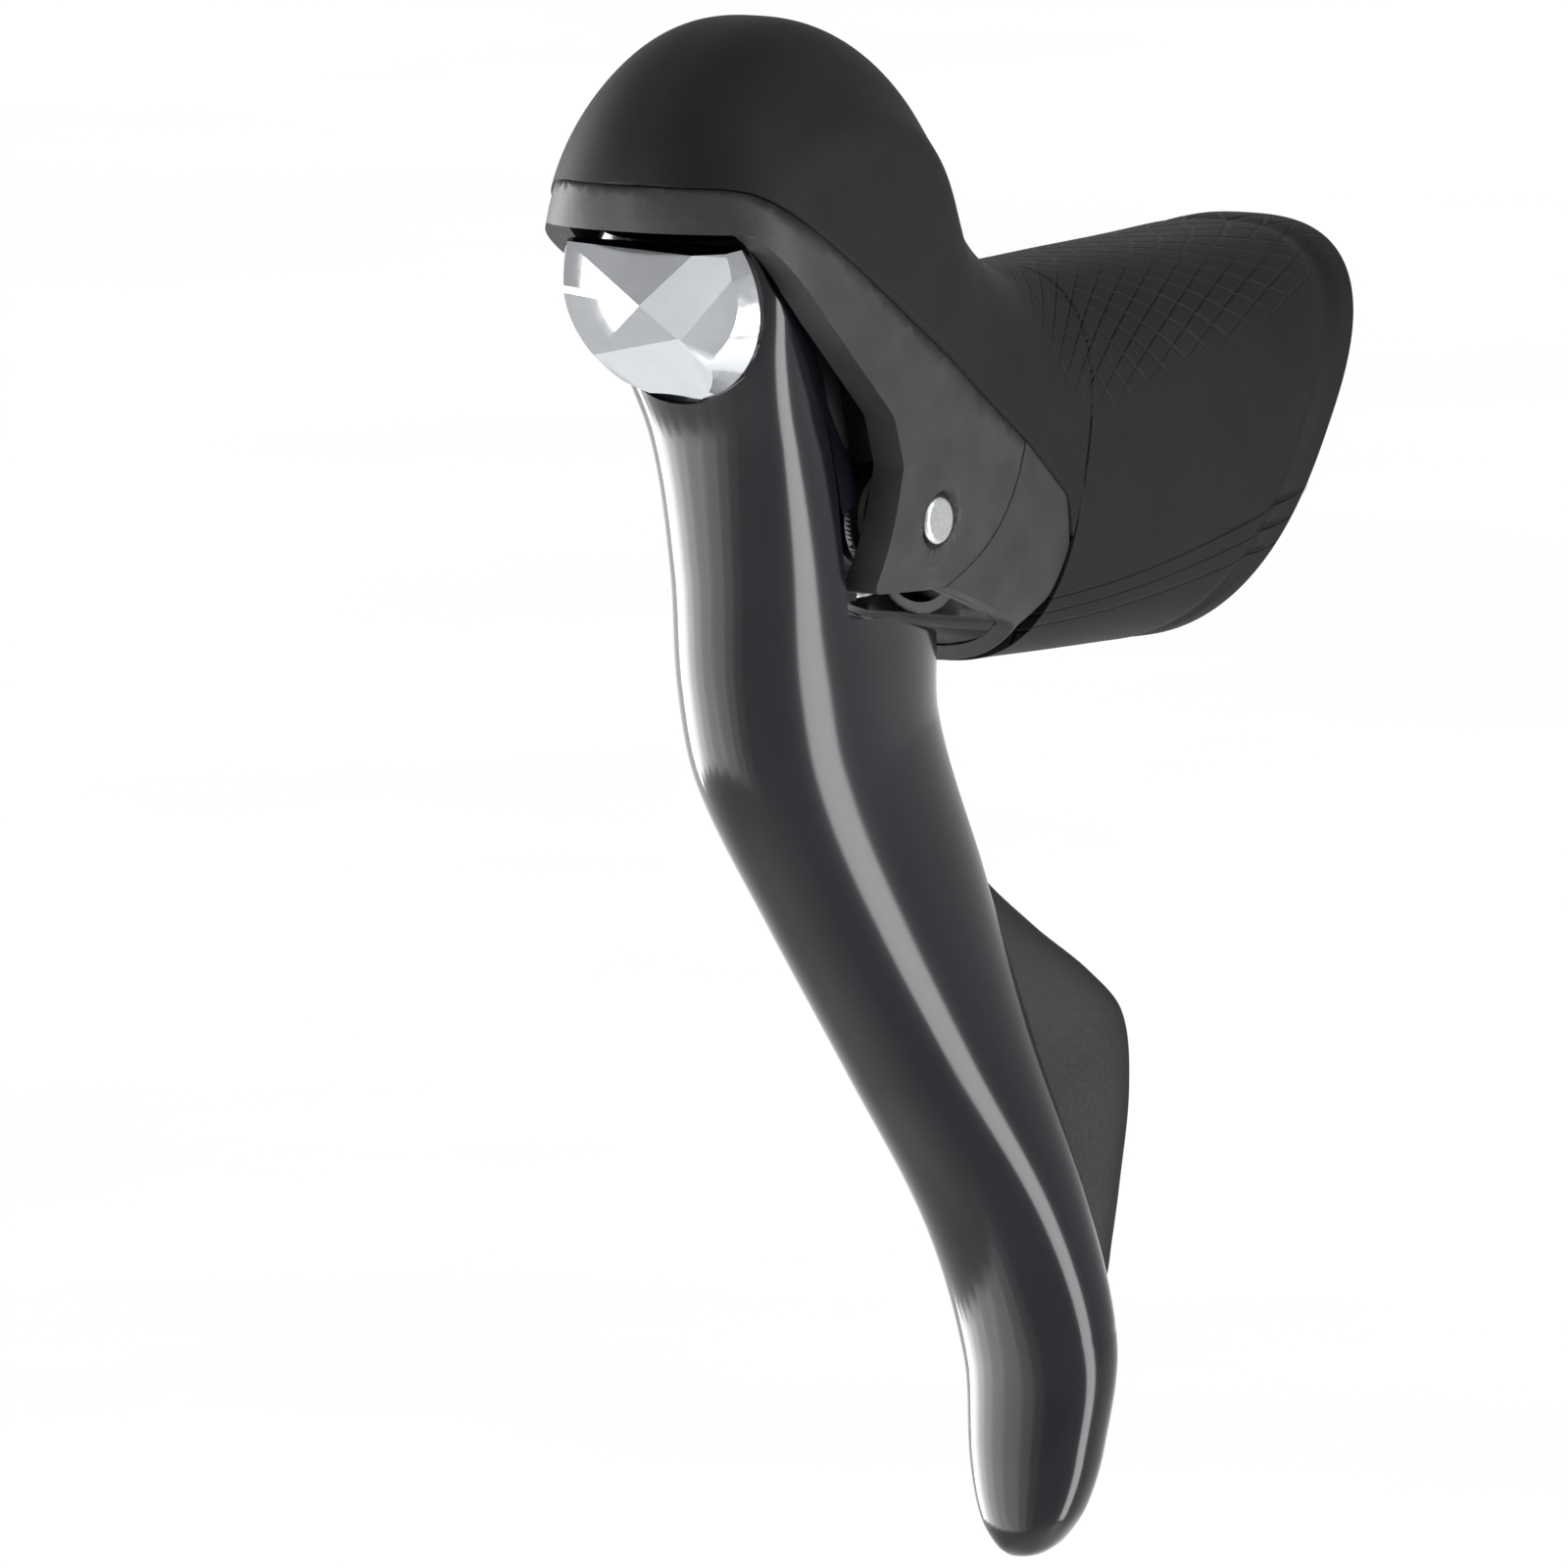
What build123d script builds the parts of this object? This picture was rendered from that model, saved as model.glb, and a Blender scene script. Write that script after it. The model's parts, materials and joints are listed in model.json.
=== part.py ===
from build123d import *
from math import copysign, cos, hypot, pi, radians, sin
import os

# Left-hand brake and shift lever for a drop bar. Millimetres. +X is forward, +Y is outward (the rider's
# left), +Z is up. The origin is the centre of the handlebar inside the clamp band.

# Handlebar and clamp
BAR_RADIUS = 12.0
BAR_TILT = 25.0  # lean of the bar's axis, its upper end rearward
BAND_WIDTH = 9.0
BAND_THICKNESS = 1.2
CROSS_NUT_RADIUS = 3.4
CROSS_NUT_REACH = 19.5  # from the bar's axis to the cross nut
CLAMP_BOLT_RADIUS = 2.5
CLAMP_BOLT_HEAD_RADIUS = 4.0
CLAMP_BOLT_HEAD_LENGTH = 4.5
CLAMP_BOLT_LENGTH = 16.5
REAR_FACE_REACH = 9.0  # from the bar's axis to the rear face of the bracket
SADDLE_TOP = 7.5  # the bracket bears on the bar up to this far above the middle of the band
BAR_CLEARANCE = 0.6  # round the bar wherever nothing bears on it

# Hood and bracket envelope
HORN_X = 97.5  # centre of the round horn
HORN_Z = 31.0
HORN_RADIUS = 24.4
SADDLE_X = 48.0
SADDLE_Z = 23.0
HOOD_REAR_X = -8.5
HOOD_REAR_Z = 24.6
HOOD_BELLY_X = 22.0
HOOD_BELLY_Z = -23.0
CHEEK_BOTTOM_Z = -21.0
NOSE_HALF_WIDTH = 18.8
NOSE_TAPER = 2.6  # how much narrower each of the foremost ribs is than the next
GRIP_HALF_WIDTH = 17.2
REAR_HALF_WIDTH = 21.2
FULLNESS = 2.6  # exponent of the oval sections: 2 is an ellipse, more is squarer
WIDEST_SHARE = 0.52  # how far up each section its widest place lies
HOOD_WALL = 2.0
SEAT_GAP = 0.3
BRACKET_WALL = 2.2
RIM_STEP = 0.3  # how far the bare rim stands inside the hood's outer face

# Lever pivot
PIN_X = 82.0
PIN_Z = -3.5
PIN_RADIUS = 2.5
PIN_HEAD_RADIUS = 2.9
PIN_HEAD_HEIGHT = 1.1
PIN_HALF_LENGTH = 17.2
BUSHING_RADIUS = 3.6
FLANGE_RADIUS = 5.2
FLANGE_THICKNESS = 0.8
HUB_RADIUS = 6.5
HUB_HALF_LENGTH = 9.0
SPOOL_RADIUS = 4.6
SPRING_WIRE_RADIUS = 0.6
SPRING_TURNS = 3
BOSS_RADIUS = 5.6
RUNNING_GAP = 0.05
FACE_GAP = 0.3

# Shift axis and what is stacked on it, measured rearward from the back of the nameplate
AXIS_X = 113.6
AXIS_Z = 24.9
AXIS_TILT = 15.0  # the axis falls toward the front by this angle
NAMEPLATE_RADIUS = 13.5
NAMEPLATE_RIM = 0.9
NAMEPLATE_DEPTH = 8.0
TOP_TRIM = 5.8  # the head and nameplate are cut flat this far above the axis
HEAD_START = 0.3
HEAD_LENGTH = 10.7
PADDLE_BOSS_LENGTH = 2.8
PADDLE_BOSS_RADIUS = 8.0
SUPPORT_PLATE = 4.0
SUPPORT_EYE_RADIUS = 9.0
RATCHET_THICKNESS = 1.4
RATCHET_RADIUS = 9.0
RATCHET_TEETH = 22
REEL_LENGTH = 6.0
REEL_RADIUS = 9.5
CABLE_RADIUS = 0.6
SPINDLE_RADIUS = 3.0
SPINDLE_NUT_RADIUS = 5.0
SPINDLE_NUT_LENGTH = 3.0

# Master cylinder
CYLINDER_Z = -11.0
CYLINDER_REAR_X = 28.0
CYLINDER_FRONT_X = 61.0
CYLINDER_RADIUS = 6.2
PISTON_RADIUS = 4.8
PISTON_LENGTH = 9.0
PISTON_FRONT_X = 58.0
ROD_RADIUS = 1.8
ROD_TIP_X = 75.0
FRONT_WALL_X = 61.5  # front face of the solid rear half of the bracket

# Ports on the bracket's rear face
PORT_DROP = 13.0  # below the middle of the band, along the bar
PORT_FACE_REACH = 15.0  # from the bar's axis to the mouths of the ports
PORT_ROOM_TOP = 7.5  # below the middle of the band, where the rear face steps forward to the ports
PORT_OFFSET = 9.5
HOSE_PORT_RADIUS = 4.0
HOSE_PORT_DEPTH = 9.0
CABLE_PORT_RADIUS = 2.6
CABLE_PORT_DEPTH = 9.0

# Edges of the hood and the bracket, seen from the side
NOSE_X = HORN_X + HORN_RADIUS
RIM_TOP_Z = 37.6
RIM_BOTTOM_Z = 32.2
EDGE_MIDDLE_X = 64.5
EDGE_MIDDLE_Z = 4.2
BELLY_EDGE_Z = -18.0
EDGE_REAR_X = 54.0
EDGE_ROUNDING = 3.0
RIM_ROUNDING = 9.0
SEAM = 0.2
REAR_RUN_ON = 12.0
FAR = 80.0

# Worked out from the values above
SLIP = 0.03
BOSS_FACE = HUB_HALF_LENGTH + FLANGE_THICKNESS + FACE_GAP
BOSS_SEAT = NOSE_HALF_WIDTH - 3.0
CLIP_RADIUS = 4.2
CLIP_THICKNESS = 0.8
CLIP_Y = -PIN_HALF_LENGTH + 0.6
SPOOL_START = 2.0
HEAD_RADIUS = NAMEPLATE_RADIUS - 0.4
HEAD_DROP = 46.0
BLADE_DROP = 158.0
BLADE_FULLNESS = 2.3
HEEL_ROOM = 21.8  # room across the bracket's belly for the blade's heel when the lever is pulled
BLADE_POINTS = 14
PADDLE_POINTS = 8
CHANNEL_FRONT = 10.6
GUARD_INNER_Y = 10.0
GUARD_BACK = 17.2
GUARD_DROP = 31.0  # the guard ends this far below the shift axis, clear of the cheek
PADDLE_START = HEAD_START + HEAD_LENGTH + FACE_GAP
PLATE_START = PADDLE_START + PADDLE_BOSS_LENGTH + FACE_GAP
PLATE_DROP = 34.0
RATCHET_START = PLATE_START + SUPPORT_PLATE + FACE_GAP
REEL_START = RATCHET_START + RATCHET_THICKNESS
NUT_START = REEL_START + REEL_LENGTH + FACE_GAP
SPINDLE_END = NUT_START + SPINDLE_NUT_LENGTH + 0.5
SEAL_WIDTH = 1.4
SEAL_INNER_RADIUS = 3.8
SEAL_PLACES = (PISTON_FRONT_X - PISTON_LENGTH + 1.2, PISTON_FRONT_X - PISTON_LENGTH + 4.2)
LUG_REAR_X = ROD_TIP_X + 2.0
REACH_SCREW_RADIUS = 2.0
HEAD_REACH = CROSS_NUT_REACH + 15.0
NUT_HALF_LENGTH = BAR_RADIUS + BAND_THICKNESS + 0.4
RESERVOIR_X = 48.0
RESERVOIR_Z = 3.0
RESERVOIR_LENGTH = 16.0
RESERVOIR_HEIGHT = 10.0
RESERVOIR_FACE = 13.9
COVER_THICKNESS = 1.6

SHIFT = Plane(
    origin=(AXIS_X, 0, AXIS_Z),
    x_dir=(0, 1, 0),
    z_dir=(cos(radians(AXIS_TILT)), 0, -sin(radians(AXIS_TILT))),
)
BAR = Plane(origin=(0, 0, 0), x_dir=(cos(radians(BAR_TILT)), 0, sin(radians(BAR_TILT))),
            z_dir=(-sin(radians(BAR_TILT)), 0, cos(radians(BAR_TILT))))


def mix(a, b, share):
    """The value a given share of the way from a to b."""
    return a + (b - a) * share


def oval(middle, lean, upper, lower, half_width, count=16):
    """A closed squarish oval in the plane of Y and the leaning line, as a wire."""
    points = []
    for k in range(count):
        angle = 2 * pi * k / count
        rise = copysign(abs(cos(angle)) ** (2 / FULLNESS), cos(angle))
        rise *= upper if rise > 0 else lower
        width = half_width * copysign(abs(sin(angle)) ** (2 / FULLNESS), sin(angle))
        points.append(Vector(middle[0] + lean[0] * rise, width, middle[1] + lean[1] * rise))
    return Wire([Edge.make_spline(points, periodic=True)])


def hood_ribs():
    """Back point, belly point and half width of each section, from the nose to the rear."""
    ribs = []
    for k, angle in enumerate((-12, 12, 36, 60, 85, 110, 135)):
        turn = radians(angle)
        back = (HORN_X + HORN_RADIUS * cos(turn), HORN_Z + HORN_RADIUS * sin(turn))
        belly = (HORN_X + 6 - 3.2 * k, CHEEK_BOTTOM_Z)
        ribs.append((back, belly, NOSE_HALF_WIDTH - max(0.0, NOSE_TAPER * (2 - k))))
    neck = (HORN_X - HORN_RADIUS, HORN_Z + 5)
    ribs.append((neck, (mix(SADDLE_X, neck[0], 1.15), CHEEK_BOTTOM_Z + 1), NOSE_HALF_WIDTH - 0.5))
    slope = (mix(SADDLE_X, neck[0], 0.56), mix(SADDLE_Z, HORN_Z, 0.45))
    ribs.append((slope, (neck[0] - 2, mix(CHEEK_BOTTOM_Z, HOOD_BELLY_Z, 0.65)),
                 mix(GRIP_HALF_WIDTH, NOSE_HALF_WIDTH, 0.5)))
    ribs.append(((SADDLE_X, SADDLE_Z), (SADDLE_X + 10, HOOD_BELLY_Z), GRIP_HALF_WIDTH))
    for share in (1 / 3, 2 / 3, 1.0):
        back = (mix(SADDLE_X, HOOD_REAR_X, share), mix(SADDLE_Z, HOOD_REAR_Z, share ** 1.5))
        belly = (mix(SADDLE_X + 10, HOOD_BELLY_X, share), HOOD_BELLY_Z)
        ribs.append((back, belly, mix(GRIP_HALF_WIDTH, REAR_HALF_WIDTH, share)))
    return ribs


def envelope(inset):
    """The lofted outer form, drawn in by the inset and run on past the rear edge."""
    ribs = hood_ribs()
    (back_x, back_z), (belly_x, belly_z), half = ribs[-1]
    ribs.append(((back_x - REAR_RUN_ON, back_z), (belly_x - REAR_RUN_ON, belly_z), half))
    wires = []
    for back, belly, half in ribs:
        length = hypot(back[0] - belly[0], back[1] - belly[1])
        lean = ((back[0] - belly[0]) / length, (back[1] - belly[1]) / length)
        middle = (mix(belly[0], back[0], WIDEST_SHARE), mix(belly[1], back[1], WIDEST_SHARE))
        upper = length * (1 - WIDEST_SHARE) - inset
        lower = length * WIDEST_SHARE - inset
        wires.append(oval(middle, lean, upper, lower, half - inset))
    return Solid.make_loft(wires)


def prism(outline, radius=0.0, near=-FAR, far=FAR):
    """A prism from near to far across the part over a closed outline of (x, z) points."""
    if radius:
        path = FilletPolyline(*outline, radius=radius, close=True)
    else:
        path = Polyline(*outline, close=True)
    return extrude(Plane((0, near, 0), x_dir=(1, 0, 0), z_dir=(0, -1, 0)) * make_face(path), -(far - near))


def across(x, z, radius, near, far):
    """A cylinder across the part, from near to far."""
    return Pos(x, (near + far) / 2, z) * Rot(90, 0, 0) * Cylinder(radius, far - near)


def along(z, radius, rear, front, y=0.0):
    """A cylinder along the part, from rear to front."""
    return Pos((rear + front) / 2, y, z) * Rot(0, 90, 0) * Cylinder(radius, front - rear)


def stacked(radius, start, length):
    """A cylinder on the shift axis, starting this far behind the back of the nameplate."""
    return SHIFT * Pos(0, 0, -start - length / 2) * Cylinder(radius, length)


def shift_point(drop, behind):
    """The (x, z) of a place below the shift axis and behind the back of the nameplate."""
    tilt = radians(AXIS_TILT)
    return (AXIS_X - behind * cos(tilt) - drop * sin(tilt), AXIS_Z + behind * sin(tilt) - drop * cos(tilt))


def bare_region(gap=0.0):
    """What the hood leaves bare, ahead of and below its front edge, as a prism across the part."""
    corners = [
        (NOSE_X + FAR, RIM_TOP_Z + gap, 1.0),
        (NOSE_X - 5, RIM_TOP_Z + gap, RIM_ROUNDING),
        (EDGE_MIDDLE_X, EDGE_MIDDLE_Z + gap, EDGE_ROUNDING),
        (EDGE_REAR_X + 1 - gap, EDGE_MIDDLE_Z - 7, EDGE_ROUNDING),
        (EDGE_REAR_X - 0.5 - gap, EDGE_MIDDLE_Z - 13, EDGE_ROUNDING),
        (EDGE_REAR_X + 1 - gap, EDGE_MIDDLE_Z - 19, EDGE_ROUNDING),
        (EDGE_REAR_X + 4.5 - gap, BELLY_EDGE_Z, 1.0),
        (EDGE_REAR_X + 4.5 - gap, -FAR, 1.0),
        (NOSE_X + FAR, -FAR, 1.0),
    ]
    return prism([corner[:2] for corner in corners], [corner[2] for corner in corners])


def cover_region(gap=0.0):
    """The side covers' stretch of the bare form: behind an arc that passes under the pivot."""
    top = (EDGE_MIDDLE_X + gap, EDGE_MIDDLE_Z + 1 + gap)
    middle = (PIN_X - 11.6 + gap, PIN_Z - 2.4)
    bottom = (PIN_X - 3 + gap, PIN_Z - 10)
    arc = ThreePointArc(top, middle, bottom)
    rest = Polyline(bottom, (bottom[0], -FAR), (EDGE_MIDDLE_X - FAR, -FAR),
                    (EDGE_MIDDLE_X - FAR, top[1]), top)
    face = Plane((0, -FAR, 0), x_dir=(1, 0, 0), z_dir=(0, -1, 0)) * make_face([*arc.edges(), *rest.edges()])
    return extrude(face, -2 * FAR)


def mouth_outline(side):
    """What stays open under the nose and between the cheeks: side is 1 outward, -1 inward."""
    rim = [(NOSE_X + FAR, RIM_BOTTOM_Z), (NOSE_X - 5, RIM_BOTTOM_Z)]
    if side > 0:
        cheek = [(NOSE_X - 15, RIM_BOTTOM_Z - 11), (PIN_X + 11.5, PIN_Z + 13), (PIN_X + 8.8, PIN_Z + 7),
                 (PIN_X + 9.6, PIN_Z - 8.2)]
    else:
        cheek = [(NOSE_X - 17, RIM_BOTTOM_Z - 6), (PIN_X + 8, RIM_BOTTOM_Z - 12), (PIN_X + 6.4, PIN_Z - 3.5),
                 (PIN_X + 3, PIN_Z - 7.6)]
    rear = [(PIN_X - 6, PIN_Z - 8.6), (EDGE_REAR_X + 5, BELLY_EDGE_Z), (EDGE_REAR_X + 5, -FAR),
            (NOSE_X + FAR, -FAR)]
    return rim + cheek + rear


def bar_box(reach, y, along_bar, length, width, height):
    """A block in the bar's own frame, its middle at the given place."""
    return BAR * Pos(reach, y, along_bar) * Box(length, width, height)


def hood():
    """The rubber hood: a shell open at the rear, and open in front round the nose and the cheeks."""
    shell = envelope(0.0) - envelope(HOOD_WALL)
    behind = [(HOOD_REAR_X, HOOD_REAR_Z), (HOOD_BELLY_X, HOOD_BELLY_Z)]
    slope = (behind[1][0] - behind[0][0]) / (behind[0][1] - behind[1][1])
    behind = [(HOOD_REAR_X - slope * FAR / 2, HOOD_REAR_Z + FAR / 2),
              (HOOD_BELLY_X + slope * FAR / 2, HOOD_BELLY_Z - FAR / 2)]
    shell -= prism(behind + [(-FAR, -FAR), (-FAR, FAR)])
    shell -= BAR * Cylinder(BAR_RADIUS + BAR_CLEARANCE, 4 * FAR)
    return shell - bare_region()


def bracket_body():
    """The bracket: a shell round the lever in front, and a solid rear half that seats on the bar."""
    core = envelope(HOOD_WALL + SEAT_GAP)
    rim = (envelope(RIM_STEP) & bare_region(-SEAM)) - cover_region(SEAM)
    body = core + rim
    front = Pos(FRONT_WALL_X + FAR, 0, 0) * Box(2 * FAR, 2 * FAR, 2 * FAR)
    body -= envelope(HOOD_WALL + SEAT_GAP + BRACKET_WALL) & front
    body -= prism(mouth_outline(1), 1.6, near=0.0)
    body -= prism(mouth_outline(-1), 1.6, far=0.0)
    relief = stacked(NAMEPLATE_RADIUS + 0.4, -FAR / 4, FAR / 4 + PADDLE_START)
    body -= relief & Pos(0, 0, RIM_BOTTOM_Z - FAR) * Box(4 * FAR, FAR, 2 * FAR)
    body -= Pos(PIN_X - 12, 0, PIN_Z - 11.5) * Box(13, HEEL_ROOM, 5)
    for side in (-1, 1):
        low, high = sorted((side * BOSS_FACE, side * BOSS_SEAT))
        body += across(PIN_X, PIN_Z, BOSS_RADIUS, low, high)
    body -= across(PIN_X, PIN_Z, PIN_RADIUS + SLIP, -FAR, FAR)
    body -= across(PIN_X, PIN_Z, PIN_HEAD_RADIUS + 0.6, PIN_HALF_LENGTH - PIN_HEAD_HEIGHT - SLIP, FAR)
    body -= across(PIN_X, PIN_Z, CLIP_RADIUS + 0.6, -FAR, -PIN_HALF_LENGTH + 1.6)
    body -= along(CYLINDER_Z, CYLINDER_RADIUS + SLIP, CYLINDER_REAR_X - SLIP, FRONT_WALL_X + 1)
    return body - bar_seat() - clamp_room() - ports() - reservoir_room()


def bar_seat():
    """The bar's own room and everything behind the bracket's rear face."""
    behind = bar_box(REAR_FACE_REACH - FAR, 0, 0, 2 * FAR, 2 * FAR, 4 * FAR)
    below = bar_box(PORT_FACE_REACH - FAR, 0, -PORT_ROOM_TOP - FAR, 2 * FAR, 2 * FAR, 2 * FAR)
    above = BAR * Pos(0, 0, SADDLE_TOP + FAR) * Cylinder(BAR_RADIUS + BAR_CLEARANCE, 2 * FAR)
    return behind + below + above + BAR * Cylinder(BAR_RADIUS, 4 * FAR)


def clamp_room():
    """Slots for the band's legs, a bore for the cross nut and a tunnel for the clamp bolt."""
    nut_bore = Cylinder(CROSS_NUT_RADIUS + 2 * SLIP, 2 * NUT_HALF_LENGTH + 1)
    room = BAR * Pos(CROSS_NUT_REACH, 0, 0) * Rot(90, 0, 0) * nut_bore
    for side in (-1, 1):
        leg = bar_box((CROSS_NUT_REACH + 5) / 2, side * (BAR_RADIUS + BAND_THICKNESS / 2), 0,
                      CROSS_NUT_REACH + 6, BAND_THICKNESS + 0.6, BAND_WIDTH + 1)
        room += leg
    tunnel = CLAMP_BOLT_RADIUS + 0.3
    room += BAR * Pos(CROSS_NUT_REACH + FAR / 4, 0, 0) * Rot(0, 90, 0) * Cylinder(tunnel, FAR / 2)
    head = CLAMP_BOLT_HEAD_RADIUS + 0.5
    return room + BAR * Pos(HEAD_REACH + FAR / 4, 0, 0) * Rot(0, 90, 0) * Cylinder(head, FAR / 2)


def ports():
    """The hose port on the inner side and the cable port on the outer side of the rear face."""
    cut = None
    for side, radius, depth in ((-1, HOSE_PORT_RADIUS, HOSE_PORT_DEPTH),
                                (1, CABLE_PORT_RADIUS, CABLE_PORT_DEPTH)):
        hole = Rot(0, 90, 0) * Cylinder(radius, depth + 2)
        hole = BAR * Pos(PORT_FACE_REACH + depth / 2 - 1, side * PORT_OFFSET, -PORT_DROP) * hole
        cut = hole if cut is None else cut + hole
    return cut


def reservoir_room():
    """The fluid reservoir in the inner side, with the steps for its diaphragm and cover."""
    tank = Box(RESERVOIR_LENGTH, RESERVOIR_FACE - 6, RESERVOIR_HEIGHT)
    room = Pos(RESERVOIR_X, -RESERVOIR_FACE / 2 - 3, RESERVOIR_Z) * tank
    step = Pos(RESERVOIR_X, -FAR / 2 - RESERVOIR_FACE + COVER_THICKNESS + 1, RESERVOIR_Z)
    room += step * Box(RESERVOIR_LENGTH + 12, FAR, RESERVOIR_HEIGHT + 3)
    for end in (-1, 1):
        x = RESERVOIR_X + end * (RESERVOIR_LENGTH / 2 + 3)
        room += across(x, RESERVOIR_Z, 0.9, -RESERVOIR_FACE, -RESERVOIR_FACE + 8)
    return room


def lower_cover():
    """The cover behind and below the cheeks: two side panels joined under the belly."""
    shell = (envelope(RIM_STEP) - envelope(HOOD_WALL)) & bare_region(-SEAM) & cover_region()
    for side, near, far in ((1, 0.0, FAR), (-1, -FAR, 0.0)):
        shell -= prism(mouth_outline(side), 1.6, near=near, far=far)
    return shell


def pivot_pin():
    """The lever's pivot pin, domed at its outer end and grooved for its clip at the inner end."""
    pin = across(PIN_X, PIN_Z, PIN_RADIUS, -PIN_HALF_LENGTH, PIN_HALF_LENGTH - PIN_HEAD_HEIGHT)
    head = across(PIN_X, PIN_Z, PIN_HEAD_RADIUS, PIN_HALF_LENGTH - PIN_HEAD_HEIGHT, PIN_HALF_LENGTH)
    head = fillet(head.edges().sort_by(Axis.Y)[-1], PIN_HEAD_HEIGHT * 0.6)
    groove = across(PIN_X, PIN_Z, PIN_RADIUS + 1, CLIP_Y, CLIP_Y + CLIP_THICKNESS)
    groove -= across(PIN_X, PIN_Z, PIN_RADIUS - 0.5, CLIP_Y, CLIP_Y + CLIP_THICKNESS)
    return pin + head - groove


def pin_clip():
    """The open ring that holds the pin."""
    middle = CLIP_Y + CLIP_THICKNESS / 2
    half = (CLIP_THICKNESS - 2 * SLIP) / 2
    ring = across(PIN_X, PIN_Z, CLIP_RADIUS, middle - half, middle + half)
    ring -= across(PIN_X, PIN_Z, PIN_RADIUS - 0.5 + SLIP, -FAR, FAR)
    return ring - Pos(PIN_X, 0, PIN_Z - CLIP_RADIUS) * Box(2.6, 2 * FAR, 2 * CLIP_RADIUS - 3)


def pin_bushing(side):
    """A flanged bushing in one end of the hub."""
    start, end = HUB_HALF_LENGTH - 6, HUB_HALF_LENGTH + FLANGE_THICKNESS
    sleeve = across(PIN_X, PIN_Z, BUSHING_RADIUS, start, end)
    sleeve += across(PIN_X, PIN_Z, FLANGE_RADIUS, HUB_HALF_LENGTH, end)
    sleeve -= across(PIN_X, PIN_Z, PIN_RADIUS + RUNNING_GAP, 0, FAR)
    return sleeve if side > 0 else mirror(sleeve, Plane.XZ)


def lever_support():
    """The forging that the pin hinges: hub, web, spindle plate and the lug that pushes the rod."""
    hub = across(PIN_X, PIN_Z, HUB_RADIUS, -HUB_HALF_LENGTH, HUB_HALF_LENGTH)
    bridge = SHIFT * Pos(GUARD_INNER_Y - 3, -18, -(PLATE_START + GUARD_BACK) / 2)
    bridge *= Box(6, 14, GUARD_BACK - PLATE_START)
    plate_face = PLATE_START + SUPPORT_PLATE
    plate = stacked(SUPPORT_EYE_RADIUS, PLATE_START, SUPPORT_PLATE)
    web_plate = SHIFT * Pos(0, -PLATE_DROP / 2, -PLATE_START - SUPPORT_PLATE / 2)
    web_plate *= Box(15, PLATE_DROP, SUPPORT_PLATE)
    web = prism([shift_point(13, plate_face - 1), shift_point(PLATE_DROP, plate_face - 1), (PIN_X, PIN_Z - 2),
                 (PIN_X - HUB_RADIUS + 1, PIN_Z), (PIN_X - 1, PIN_Z + 16)], near=-6.0, far=6.0)
    lug = prism([(LUG_REAR_X, CYLINDER_Z + 3.5), (LUG_REAR_X, CYLINDER_Z - 3.2),
                 (LUG_REAR_X + 4.5, CYLINDER_Z - 3.2),
                 (PIN_X + 3, PIN_Z - 4), (PIN_X - 4, PIN_Z)], near=-4.0, far=4.0)
    body = hub + plate + web_plate + bridge + web + lug
    spool = across(PIN_X, PIN_Z, HUB_RADIUS + 8, SPOOL_START, HUB_HALF_LENGTH - 1)
    spool -= across(PIN_X, PIN_Z, SPOOL_RADIUS, SPOOL_START, HUB_HALF_LENGTH - 1)
    body -= spool
    body -= across(PIN_X, PIN_Z, BUSHING_RADIUS + SLIP, -FAR, FAR)
    body -= stacked(SPINDLE_RADIUS + SLIP, PLATE_START - 1, SUPPORT_PLATE + 2)
    body -= along(CYLINDER_Z, REACH_SCREW_RADIUS + SLIP, LUG_REAR_X - 1, LUG_REAR_X + 12)
    return body


def return_spring():
    """The torsion spring round the hub's spool, with one leg hooked under the outer cheek."""
    coil_radius = SPOOL_RADIUS + SPRING_WIRE_RADIUS + 0.3
    pitch = 2 * SPRING_WIRE_RADIUS + 0.2
    coil = Helix(pitch, SPRING_TURNS * pitch, coil_radius,
                 center=(PIN_X, SPOOL_START + 0.8, PIN_Z), direction=(0, 1, 0))
    wire = Plane(coil @ 0, z_dir=coil % 0) * RegularPolygon(SPRING_WIRE_RADIUS, 6)
    return sweep(wire, path=coil, is_frenet=True)


def shift_spindle():
    """The spindle on the shift axis, with a head inside the nameplate."""
    spindle = stacked(SPINDLE_RADIUS, -2.0, SPINDLE_END + 2.0)
    return chamfer(spindle.edges(), 0.4)


def spindle_nut():
    """The nut that closes the stack behind the reel."""
    hexagon = extrude(RegularPolygon(SPINDLE_NUT_RADIUS, 6), SPINDLE_NUT_LENGTH)
    nut = SHIFT * Pos(0, 0, -NUT_START - SPINDLE_NUT_LENGTH) * hexagon
    return nut - stacked(SPINDLE_RADIUS + SLIP, NUT_START - 1, SPINDLE_NUT_LENGTH + 2)


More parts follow.
